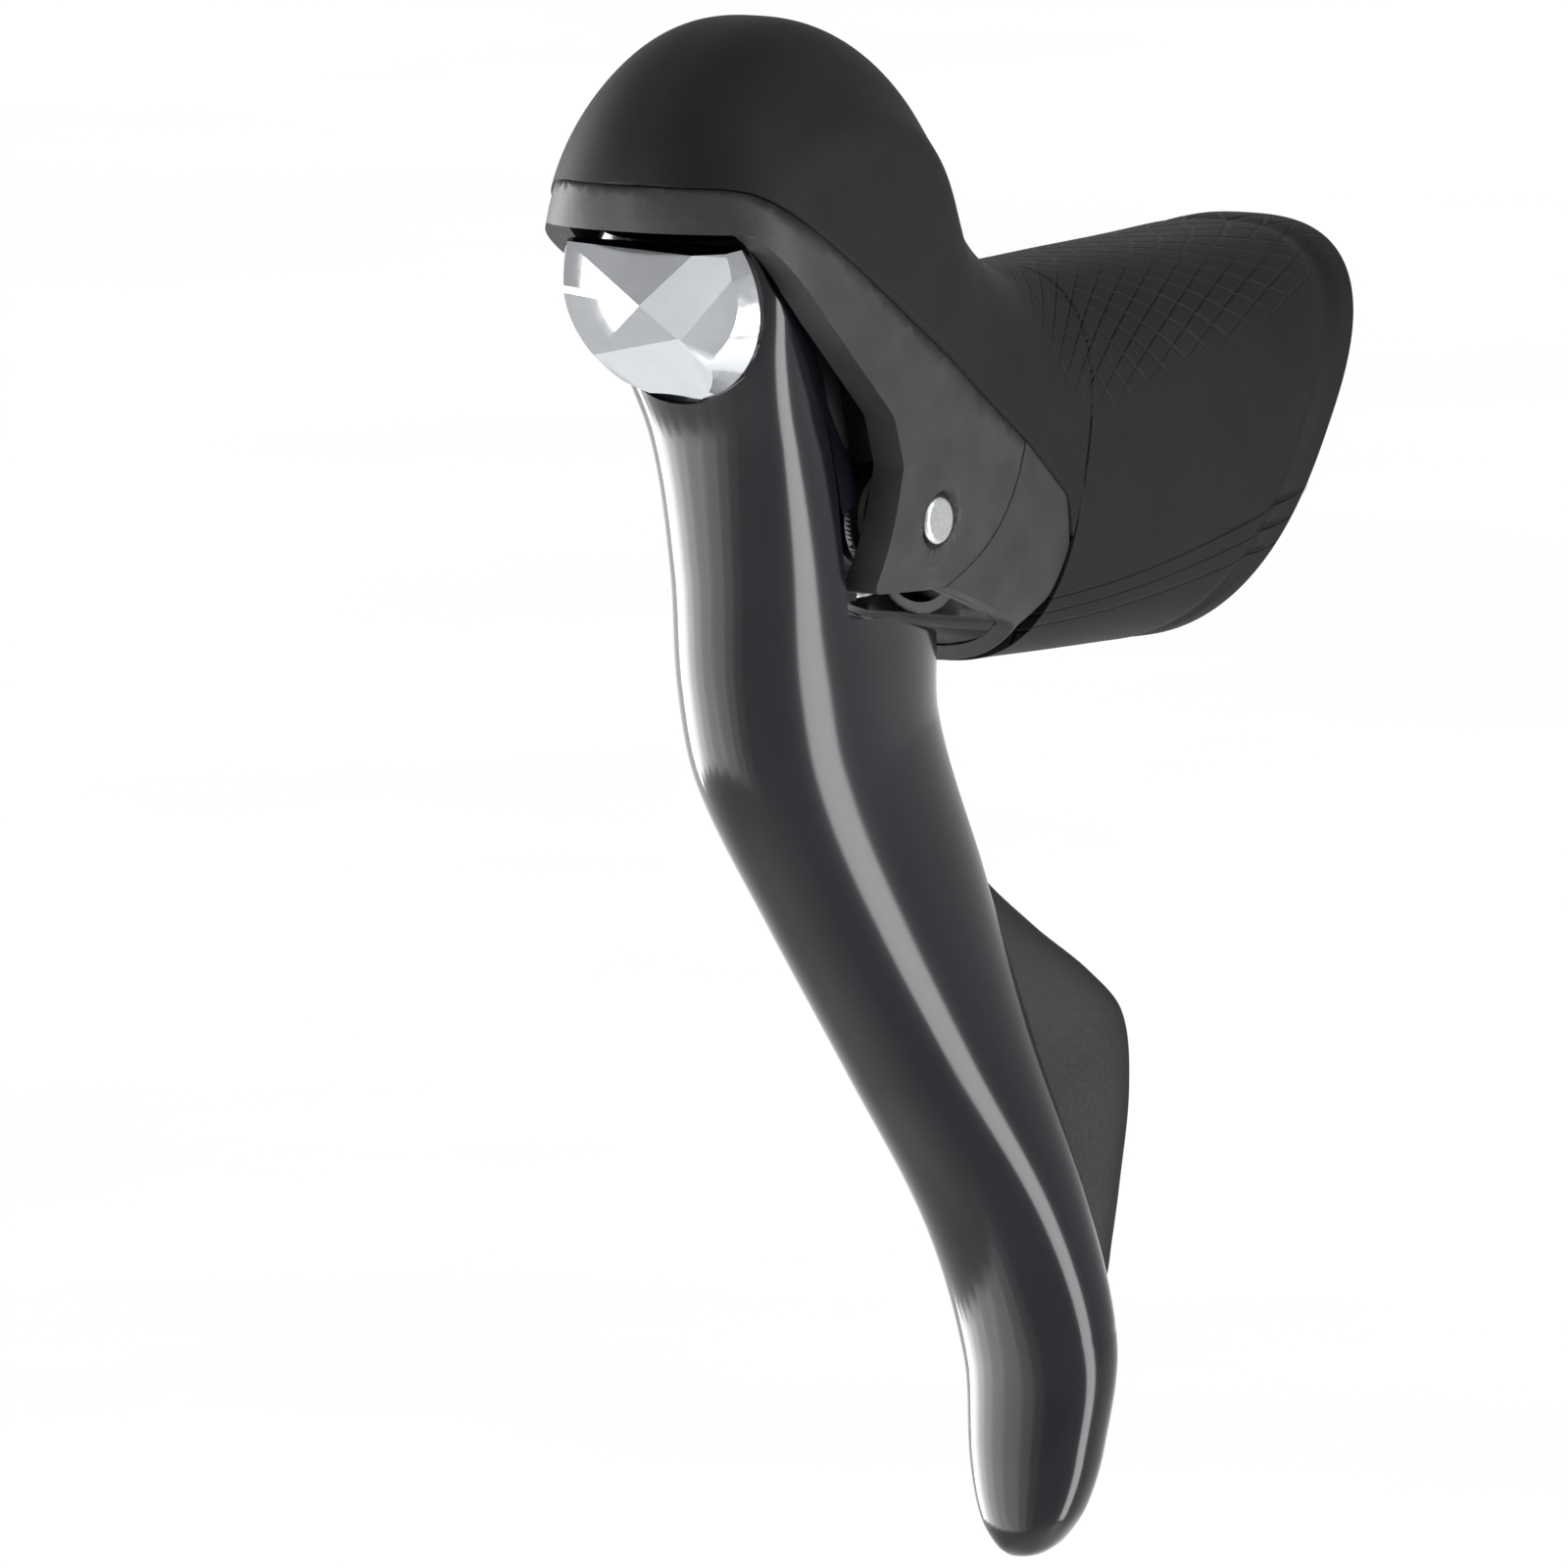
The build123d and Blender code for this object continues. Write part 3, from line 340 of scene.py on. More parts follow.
def lofted(name: str, points: Array, sharp: float) -> Piece:
    """A closed solid from a stack of closed sections, its ends filled by fans round their middles.

    Args:
        name: the piece's name.
        points: an array of sections by points by three.
        sharp: edges sharper than this angle, in degrees, stay sharp.

    Returns:
        The object.
    """
    rows, columns = points.shape[:2]
    faces = grid_faces(rows, columns, True).tolist()
    vertices = points.reshape(-1, 3)
    middles = np.stack([points[0].mean(axis=0), points[-1].mean(axis=0)])
    first, last = len(vertices), len(vertices) + 1
    base = (rows - 1) * columns
    faces += [(first, (j + 1) % columns, j) for j in range(columns)]
    faces += [(last, base + j, base + (j + 1) % columns) for j in range(columns)]
    return add_object(name, np.concatenate([vertices, middles]), faces, sharp)


def modifier(piece: Piece, kind: str, **settings: object) -> None:
    """Adds a modifier to a piece.

    Args:
        piece: the piece.
        kind: the modifier's type.
        settings: its own properties.
    """
    added = piece.modifiers.new(kind.lower(), kind)
    for key, value in settings.items():
        setattr(added, key, value)


def apply_modifiers(piece: Piece) -> None:
    """Puts the piece's modifiers into its mesh."""
    graph = bpy.context.evaluated_depsgraph_get()
    mesh = bpy.data.meshes.new_from_object(piece.evaluated_get(graph))
    piece.modifiers.clear()
    piece.data = mesh


# ---------------------------------------------------------------- materials

# Nearly all of a noise lies between these values, so colours and roughness run from one to the other.
NOISE_LOW, NOISE_HIGH = 0.3, 0.7


def linear(colour: str) -> tuple[float, float, float, float]:
    """Turns an sRGB colour to linear light: a straight part below 0.04045, a power of 2.4 above it.

    Args:
        colour: the colour in hex, such as "#1c1d1f".

    Returns:
        Red, green, blue and an alpha of one.
    """
    values = np.array([int(colour[i : i + 2], 16) for i in (1, 3, 5)]) / 255
    low, high = values / 12.92, ((values + 0.055) / 1.055) ** 2.4
    return (*np.where(values <= 0.04045, low, high).tolist(), 1.0)


def node(tree: bpy.types.NodeTree, kind: str, inputs: dict | None = None,
         **settings: object) -> bpy.types.Node:
    """Adds a shader node with its settings, values and links.

    Args:
        tree: the material's node tree.
        kind: the node's type.
        inputs: for each input, by name or number, a value or the output that feeds it.
        settings: the node's own properties.

    Returns:
        The node.
    """
    added = tree.nodes.new(kind)
    for key, value in settings.items():
        setattr(added, key, value)
    for key, value in (inputs or {}).items():
        if isinstance(value, bpy.types.NodeSocket):
            tree.links.new(value, added.inputs[key])
        else:
            added.inputs[key].default_value = value
    return added


@dataclass(frozen=True)
class Finish:
    """A surface: its colour varies between two shades, and fine grain roughens it.

    Grain that is too fine to show is drawn coarser, as the comment on each finish says.

    Attributes:
        name: the real material and how it was made.
        slot: the record's material slot, empty on the stage; not used.
        dark: the darker shade.
        light: the lighter shade.
        metallic: 1 for bare metal.
        roughness: mean roughness.
        spread: how far the roughness varies either way.
        mottle: size of the colour's patches, in millimetres.
        grain: size of the surface's grain, in millimetres.
        relief: depth of the grain, in millimetres.
        stretch: how much longer the grain is along X, Y and Z.
        ior: the refractive index, for what isn't metal.
        sheen: the share of the plain surface's own gloss, half being natural.
        coat: weight of a clear coat.
        coat_roughness: the clear coat's roughness.
        coat_ior: the clear coat's refractive index, low because the coat is thin.
    """

    name: str
    slot: str
    dark: str
    light: str
    metallic: float = 0.0
    roughness: float = 0.5
    spread: float = 0.06
    mottle: float = 9.0
    grain: float = 0.35
    relief: float = 0.02
    stretch: tuple[float, float, float] = (1.0, 1.0, 1.0)
    ior: float = 1.5
    sheen: float = 0.5
    coat: float = 0.0
    coat_roughness: float = 0.13
    coat_ior: float = 1.32

    def under_grain(self, tree: bpy.types.NodeTree) -> dict:
        """What the grain's bump lies on: here the bare surface, so nothing feeds it."""
        return {}

    def build(self) -> bpy.types.Material:
        """Builds the material: patches of colour, varied roughness and a fine bump from noise.

        Returns:
            The material.
        """
        material = bpy.data.materials.new(self.name)
        material.use_nodes = True
        tree = material.node_tree
        shader = tree.nodes["Principled BSDF"]
        place = node(tree, "ShaderNodeTexCoord").outputs["Object"]
        patches = node(tree, "ShaderNodeTexNoise",
                       {"Vector": place, "Scale": 1 / (self.mottle * MM), "Detail": 4.0})
        shades = node(tree, "ShaderNodeValToRGB", {"Fac": patches.outputs["Fac"]})
        for k, (share, colour) in enumerate(((NOISE_LOW, self.dark), (NOISE_HIGH, self.light))):
            shades.color_ramp.elements[k].position = share
            shades.color_ramp.elements[k].color = linear(colour)
        drawn = node(tree, "ShaderNodeMapping", {"Vector": place, "Scale": [1 / s for s in self.stretch]})
        fine = node(tree, "ShaderNodeTexNoise",
                    {"Vector": drawn.outputs["Vector"], "Scale": 1 / (self.grain * MM), "Detail": 3.0})
        rough = node(tree, "ShaderNodeMapRange", {
            "Value": fine.outputs["Fac"], "From Min": NOISE_LOW, "From Max": NOISE_HIGH,
            "To Min": max(self.roughness - self.spread, 0.02), "To Max": self.roughness + self.spread})
        bump = node(tree, "ShaderNodeBump", {
            "Height": fine.outputs["Fac"], "Distance": self.relief * MM, "Strength": 1.0,
            **self.under_grain(tree)})
        tree.links.new(shades.outputs["Color"], shader.inputs["Base Color"])
        tree.links.new(rough.outputs["Result"], shader.inputs["Roughness"])
        tree.links.new(bump.outputs["Normal"], shader.inputs["Normal"])
        constants = {"Metallic": self.metallic, "Coat Weight": self.coat,
                     "Coat Roughness": self.coat_roughness, "Coat IOR": self.coat_ior}
        if not self.metallic:
            constants |= {"IOR": self.ior, "Specular IOR Level": self.sheen}
        for key, value in constants.items():
            shader.inputs[key].default_value = value
        return material

    def dress(self, piece: Piece) -> None:
        """Gives a piece this finish in each of its slots, or in a new slot where it has none.

        Args:
            piece: a new piece, a CAD node or a piece of the stage.
        """
        material = bpy.data.materials.get(self.name) or self.build()
        if piece.data.materials:
            for k in range(len(piece.data.materials)):
                piece.data.materials[k] = material
        else:
            piece.data.materials.append(material)


@dataclass(frozen=True)
class Grip(Finish):
    """Rubber with a pattern of raised diamonds and fine grooves, from the piece's own maps.

    The map "grip" counts the diamonds along and round the piece. The map "reach" holds how strong they
    are, and a count that is whole on each of three grooves, from -1 to 1.

    Attributes:
        diamond: height of the diamonds, in millimetres.
        diamond_edge: width of a diamond's slope, as a share of a diamond.
        groove: depth of the grooves, in millimetres.
        groove_edge: half the width of a groove, as a share of the space between two.
        outermost: the count past which there are no more grooves.
    """

    diamond: float = 0.34
    diamond_edge: float = 0.13
    groove: float = 0.4
    groove_edge: float = 0.17
    outermost: float = 1.5

    def under_grain(self, tree: bpy.types.NodeTree) -> dict:
        """Lays the diamonds and grooves under the grain.

        Each of the two slanting families, the sum and the difference of the counts, dips at every whole
        number: its height is a smooth step of the distance from the nearest one. Their product, times
        its strength, is the diamonds' height. A groove's height is the same step of its own count, up
        to the outermost groove.

        Args:
            tree: the material's node tree.

        Returns:
            The normal that feeds the grain's bump.
        """
        def math_node(operation: str, *values: object) -> bpy.types.NodeSocket:
            """The output of one step of arithmetic on sockets or numbers."""
            added = node(tree, "ShaderNodeMath", dict(enumerate(values)), operation=operation)
            return added.outputs[0]

        def stepped(distance: bpy.types.NodeSocket, width: float) -> bpy.types.NodeSocket:
            """A smooth step from nought to one as a distance grows to a width."""
            added = node(tree, "ShaderNodeMapRange", {"Value": distance, "From Max": width},
                         interpolation_type="SMOOTHSTEP")
            return added.outputs[0]

        def raised(height: bpy.types.NodeSocket, depth: float, under: dict) -> bpy.types.NodeSocket:
            """The normal of a height of a depth in millimetres over what lies under it."""
            added = node(tree, "ShaderNodeBump",
                         {"Height": height, "Distance": depth * MM, "Strength": 1.0, **under})
            return added.outputs["Normal"]

        count, reach = (
            node(tree, "ShaderNodeSeparateXYZ", {0: node(tree, "ShaderNodeUVMap", uv_map=name).outputs["UV"]})
            for name in ("grip", "reach"))
        slants = [math_node(kind, count.outputs["X"], count.outputs["Y"]) for kind in ("ADD", "SUBTRACT")]
        families = [stepped(math_node("PINGPONG", slant, 0.5), self.diamond_edge) for slant in slants]
        faded = math_node("MULTIPLY", math_node("MULTIPLY", *families), reach.outputs["X"])
        past = math_node("GREATER_THAN", math_node("ABSOLUTE", reach.outputs["Y"]), self.outermost)
        away = math_node("ADD", math_node("PINGPONG", reach.outputs["Y"], 0.5), past)
        diamonds = raised(faded, self.diamond, {})
        return {"Normal": raised(stepped(away, self.groove_edge), self.groove, {"Normal": diamonds})}


# Soft silicone-blend rubber from an etched mould: a dull, even black. The etching's pits, near 0.05 mm,
# are drawn at 0.25 mm as the faintest grain.
HOOD_RUBBER = Grip("moulded_hood_rubber", "hood_rubber", "#0a0b0c", "#0e0f10", roughness=0.62, grain=0.25,
                   relief=0.01, sheen=0.1)
# Glass-filled nylon from a spark-eroded mould: dark grey and slightly mottled where fibres reach the
# skin, with a dry satin gloss. The eroded pits, near 0.05 mm, are drawn at 0.3 mm.
BRACKET_RESIN = Finish("moulded_glass_filled_nylon", "bracket_resin", "#19191a", "#222223", roughness=0.52,
                       sheen=0.2, mottle=5.0, grain=0.3, relief=0.015)
# The same nylon in a separate mould: a shade darker and drier, which sets the covers off.
COVER_RESIN = Finish("moulded_cover_nylon", "cover_resin", "#161617", "#1e1e1f", roughness=0.54, sheen=0.2,
                     mottle=5.0, grain=0.3, relief=0.015)
# Forged aluminium, tumbled, dyed dark and lacquered: deep blue-grey under a clear, glossy coat, whose
# faint waviness is 0.6 mm long.
BLADE_PAINT = Finish("lacquered_anodised_aluminium", "blade_paint", "#06070b", "#090a0f", roughness=0.3,
                     sheen=0.05, spread=0.02, mottle=14.0, grain=0.6, relief=0.0005, coat=1.0)
# Polished and plated facets: mirror-bright, with a trace of orange peel 1.2 mm long.
PLATE_CHROME = Finish("polished_plated_brass", "nameplate_chrome", "#a3a5a8", "#afb1b4", metallic=1.0,
                      roughness=0.12, spread=0.03, grain=1.2, relief=0.002)
# Carbon-filled resin from a satin mould: black with a broad, weak shine.
PADDLE_RESIN = Finish("moulded_carbon_filled_resin", "paddle_resin", "#0e0e0e", "#131313", roughness=0.55,
                      sheen=0.15, grain=0.3, relief=0.015)
# Aluminium forged and black anodised: the dye hides most of the metal's shine.
SUPPORT_FORGING = Finish("black_anodised_forging", "support_forging", "#1d1e20", "#27282a", metallic=0.4,
                         roughness=0.5, sheen=0.25)
# Turned stainless steel: bright, with lathe rings near 0.05 mm, drawn at 0.4 mm and long across the lever.
PIN_STEEL = Finish("turned_stainless_steel", "pin_steel", "#a5a7a9", "#b9bbbd", metallic=1.0,
                   roughness=0.28, grain=0.4, stretch=(1.0, 6.0, 1.0))
# Spring wire blackened in a hot bath: dark, with only a little metal showing through.
SPRING_STEEL = Finish("blackened_spring_steel", "spring_steel", "#1b1b1c", "#252526", metallic=0.5,
                      roughness=0.5, sheen=0.2)
# Bearing polymer on a sintered backing: a dull grey-brown with open pores.
BUSHING_POLYMER = Finish("sintered_bearing_polymer", "bushing_polymer", "#57534a", "#635f55", roughness=0.5)
# Steel pressed from sheet and hardened: grey, and a little blurred by tumbling.
RATCHET_STEEL = Finish("pressed_hardened_steel", "ratchet_steel", "#6d6f72", "#808285", metallic=1.0,
                       roughness=0.35)
# Undyed acetal from a smooth mould: milky white and waxy.
REEL_RESIN = Finish("moulded_natural_acetal", "reel_resin", "#b9b7ae", "#c4c2ba", roughness=0.4)
# Aluminium bored, honed and hard anodised: near black, its fine marks drawn out along the bore.
CYLINDER_ALUMINIUM = Finish("hard_anodised_aluminium", "cylinder_aluminium", "#1c1d1f", "#262729",
                            metallic=0.5, roughness=0.42, sheen=0.25, stretch=(8.0, 1.0, 1.0))
# Nitrile rubber from a plain mould: black and dull.
SEAL_RUBBER = Finish("moulded_nitrile_rubber", "seal_rubber", "#141414", "#1b1b1b", roughness=0.55)
# Aluminium milled and black anodised: its edges and flats still glint as metal.
LID_ALUMINIUM = Finish("black_anodised_aluminium", "lid_aluminium", "#2b2b2d", "#343436", metallic=0.9,
                       roughness=0.4)
# Screws rolled, hardened and blackened: dark metal with a dry gloss.
SCREW_STEEL = Finish("blackened_screw_steel", "screw_steel", "#3c3c3e", "#4a4a4c", metallic=1.0,
                     roughness=0.38)
# Stainless strip, bright from the rolls: its rolling marks run along the band.
BAND_STEEL = Finish("bright_stainless_strip", "band_steel", "#a9abad", "#babcbe", metallic=1.0,
                    roughness=0.25, stretch=(8.0, 1.0, 1.0))
# Painted board under the lever: pale and even, with wide, weak patches.
STUDIO_BOARD = Finish("pale_studio_board", "", "#f4f4f4", "#f8f8f8", roughness=0.9, mottle=400.0)


# ---------------------------------------------------------------- frame


@dataclass(frozen=True)
class Guide:
    """What the pieces take from the frame, in millimetres.

    Attributes:
        shift: x and z of the shift axis at the back of the nameplate.
        axis: direction of the shift axis, rearward.
        bracket_front: how far forward the bracket reaches.
        hood_top: how high the hood reaches.
    """

    shift: Array
    axis: Array
    bracket_front: float
    hood_top: float

    @classmethod
    def read(cls, frame: dict) -> "Guide":
        """Reads the shift axis and the nodes' boxes.


        Returns:
            The guide.
        """
        swing = next(joint for joint in frame["joints"] if joint["name"] == "blade_swing")
        return cls(shift=np.array(swing["pos_m"])[[0, 2]] / MM, axis=np.array(swing["axis"])[[0, 2]],
                   bracket_front=(np.array(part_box("bracket_body")[1]) / MM)[0],
                   hood_top=(np.array(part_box("hood")[1]) / MM)[2])

    def placed(self, behind: Array, across: Array, drop: Array) -> Array:
        """Points placed by the shift axis.

        Args:
            behind: distance behind the nameplate, along the axis.
            across: distance across the lever, outwards.
            drop: distance below the axis, square to it.

        Returns:
            The points, their three coordinates last.
        """
        back_x, back_z = self.axis
        x = self.shift[0] + back_x * behind - back_z * drop
        z = self.shift[1] + back_z * behind + back_x * drop
        return np.stack(np.broadcast_arrays(x, across, z), axis=-1)


@dataclass
class SubAssembly(ABC):
    """A part of the lever whose pieces are built together and then dressed.

    Attributes:
        pieces: what has been built.
    """

    pieces: list[Piece] = field(default_factory=list, init=False)

    @abstractmethod
    def build(self) -> None:
        """Builds the pieces and rides each on its body."""

    @abstractmethod
    def dress(self) -> None:
        """Gives each piece its finish."""

    def report(self) -> None:
        """Logs each piece and how many faces it has."""
        for piece in self.pieces:
            LOG.info("%s: %d faces", piece.name, len(piece.data.polygons))


# ---------------------------------------------------------------- outer form and hood


@dataclass
class OuterForm:
    """The smooth form that the hood, the bracket's rim and the side covers share.

    Each section is a squarish oval between a point on the back and one on the belly; smooth curves run
    through the sections from the nose to the rear.

    Attributes:
        guide: the frame's places.
        horn_radius: radius of the round horn, seen from the side.
        horn_turns: the horn's sections, by their angle up from straight ahead, in degrees.
        horn_belly: how far ahead of the horn's middle its first belly point lies, and the step back.
        rim_step: how far the bare rim stands inside the hood's outer face.
        top_room: how far the form's top stays under the hood's box.
        neck_rise: how far the neck lies above the horn's middle.
        saddle: x and z of the low point of the back.
        rear: x and z of the back's rear end.
        belly: x and z of the belly's rear end.
        overrun: how far the last section lies behind the hood's end.
        cheek_bottom: z of the lower edge of the cheeks.
        nose_half: half width of the horn.
        nose_taper: how much narrower each of the two foremost sections is than the next.
        grip_half: half width of the grip.
        rear_half: half width of the rear end.
        fullness: exponent of the ovals, 2 being an ellipse and more being squarer.
        widest: how far up each section its widest place lies, as a share.
        rim_top: z of the hood's edge over the nameplate.
        rim_rounding: radius of the corner where that edge turns down the cheek.
        edge_middle: x and z of the corner behind the brake pivot.
        edge_rear_x: how far back the hood's front edge reaches.
        belly_edge: z where that edge meets the belly.
    """

    guide: Guide
    horn_radius: float = 24.4
    horn_turns: tuple[float, ...] = (-12, 12, 36, 60, 85, 110, 135)
    horn_belly: Pair = (6.0, 3.2)
    rim_step: float = 0.3
    top_room: float = 0.02
    neck_rise: float = 5.0
    saddle: Pair = (48.0, 23.0)
    rear: Pair = (-8.5, 24.6)
    belly: Pair = (22.0, -23.0)
    overrun: float = 12.0
    cheek_bottom: float = -21.0
    nose_half: float = 18.8
    nose_taper: float = 2.6
    grip_half: float = 17.2
    rear_half: float = 21.2
    fullness: float = 2.6
    widest: float = 0.52
    rim_top: float = 37.6
    rim_rounding: float = 9.0
    edge_middle: Pair = (64.5, 4.2)
    edge_rear_x: float = 54.0
    belly_edge: float = -18.0
    rows: Array = field(init=False)
    place: Array = field(init=False)

    def __post_init__(self) -> None:
        """Works out the sections and their places, by the mean step of their three points."""
        self.horn_x = self.guide.bracket_front + self.rim_step - self.horn_radius
        self.horn_z = self.guide.hood_top - self.horn_radius - self.top_room
        self.rows = self.sections()
        step = np.linalg.norm(np.diff(self.rows[:, :6], axis=0).reshape(-1, 3, 2), axis=-1).mean(axis=1)
        self.place = np.concatenate([[0.0], np.cumsum(step)])

    def horn_sections(self) -> tuple[Array, Array, Array]:
        """Sections round the horn: backs on a circle, bellies stepping back along a level line.

        Returns:
            Back points, belly points and half widths.
        """
        turn = np.radians(self.horn_turns)
        k = np.arange(len(turn))
        circle = np.stack([np.cos(turn), np.sin(turn)], axis=1)
        backs = np.array([self.horn_x, self.horn_z]) + self.horn_radius * circle
        ahead, back = self.horn_belly
        bellies = np.stack([self.horn_x + ahead - back * k, np.full(len(k), self.cheek_bottom)], axis=1)
        return backs, bellies, self.nose_half - self.nose_taper * np.maximum(2 - k, 0)

    def grip_sections(self) -> tuple[list, list, list]:
        """Sections of the neck, the slope, the saddle and the grip.

        The slope lies about half-way from the saddle to the neck. From the saddle the grip runs to the
        rear by thirds, its back rising as the share to the power of 1.5.

        Returns:
            Back points, belly points and half widths.
        """
        (saddle_x, saddle_z), (rear_x, rear_z), (belly_x, belly_z) = self.saddle, self.rear, self.belly
        neck_x, neck_z = self.horn_x - self.horn_radius, self.horn_z + self.neck_rise
        slope = (saddle_x + (neck_x - saddle_x) * 0.56, saddle_z + (self.horn_z - saddle_z) * 0.45)
        share = np.array([1 / 3, 2 / 3, 1.0])
        grip_backs = np.stack([saddle_x + (rear_x - saddle_x) * share,
                               saddle_z + (rear_z - saddle_z) * share**1.5], axis=1)
        front_x = saddle_x + 10
        grip_bellies = np.stack([front_x + (belly_x - front_x) * share, np.full(3, belly_z)], axis=1)
        bellies = [(saddle_x + (neck_x - saddle_x) * 1.15, self.cheek_bottom + 1),
                   (neck_x - 2, self.cheek_bottom + (belly_z - self.cheek_bottom) * 0.65),
                   (front_x, belly_z), *grip_bellies]
        halves = [self.nose_half - 0.5, (self.grip_half + self.nose_half) / 2, self.grip_half,
                  *(self.grip_half + (self.rear_half - self.grip_half) * share)]
        return [(neck_x, neck_z), slope, (saddle_x, saddle_z), *grip_backs], bellies, halves

    def sections(self) -> Array:
        """Joins the horn's sections, the grip's and one beyond the hood's end.

        Returns:
            Back, middle and belly points and half width of each section, from the nose to the rear.
        """
        past = np.array([self.overrun, 0.0])
        last = ([np.array(self.rear) - past], [np.array(self.belly) - past], [self.rear_half])
        backs, bellies, halves = (np.concatenate(parts) for parts in
                                  zip(self.horn_sections(), self.grip_sections(), last))
        middles = bellies + (backs - bellies) * self.widest
        return np.concatenate([backs, middles, bellies, halves[:, None]], axis=1)

    def hood_edge(self) -> Array:
        """The hood's front edge seen from the side.

        It runs level over the nameplate, down the cheek, hollow round the cover and down to the belly.

        Returns:
            The edge's points, beginning and ending well outside the form.
        """
        nose, below = self.horn_x + self.horn_radius, -60
        (x, z), rear = self.edge_middle, self.edge_rear_x
        return rounded_path([
            (nose + 40, self.rim_top, 0), (nose - 5, self.rim_top, self.rim_rounding), (x, z, 3.0),
            (rear + 1, z - 7, 3.0), (rear - 0.5, z - 13, 3.0), (rear + 1, z - 19, 3.0),
            (rear + 4.5, self.belly_edge, 1.0), (rear + 4.5, below, 0)])

    def along(self, at: Array) -> tuple[Array, Array, Array, Array]:
        """Back, middle, belly and half width at places along the form, by a natural cubic spline."""
        rows = natural_spline(self.place, self.rows, at)
        return rows[:, :2], rows[:, 2:4], rows[:, 4:6], rows[:, 6]

    def edge_angle(self, at: Array, path: Array) -> Array:
        """The angle from the back at which each section first meets a path seen from the side.

        Up to the middle of the section the height is the cosine to the power of two over the fullness,
        so the angle is the arc cosine of the height to the power of half the fullness.

        Args:
            at: the sections' places.
            path: the path's points.

        Returns:
            One angle for each place, half a turn where the path isn't met.
        """
        back, middle, belly, _ = self.along(at)
        upper = first_crossing(back, middle, path)
        lower = first_crossing(middle, belly, path)
        high = np.arccos((1 - upper) ** (self.fullness / 2))
        low = np.arccos(-(lower ** (self.fullness / 2)))
        return np.where(upper < 1, high, np.where(lower < 1, low, np.pi))

    def surface(self, at: Array, angle: Array) -> Array:
        """Points of the form.

        A point lies between the middle and the back, or the middle and the belly, by the cosine of its
        angle to the power of two over the fullness, and out to the side by the sine likewise.

        Args:
            at: the sections' places, one for each row.
            angle: the angle from the back, rows by columns; it is negative on the inner side.

        Returns:
            An array of rows by columns by three.
        """
        back, middle, belly, half = self.along(at)
        rise = signed_power(np.cos(angle), 2 / self.fullness)[..., None]
        back, middle, belly = back[:, None, :], middle[:, None, :], belly[:, None, :]
        flat = middle + np.where(rise > 0, rise * (back - middle), -rise * (belly - middle))
        across = half[:, None] * signed_power(np.sin(angle), 2 / self.fullness)
        return np.stack([flat[..., 0], across, flat[..., 1]], axis=-1)


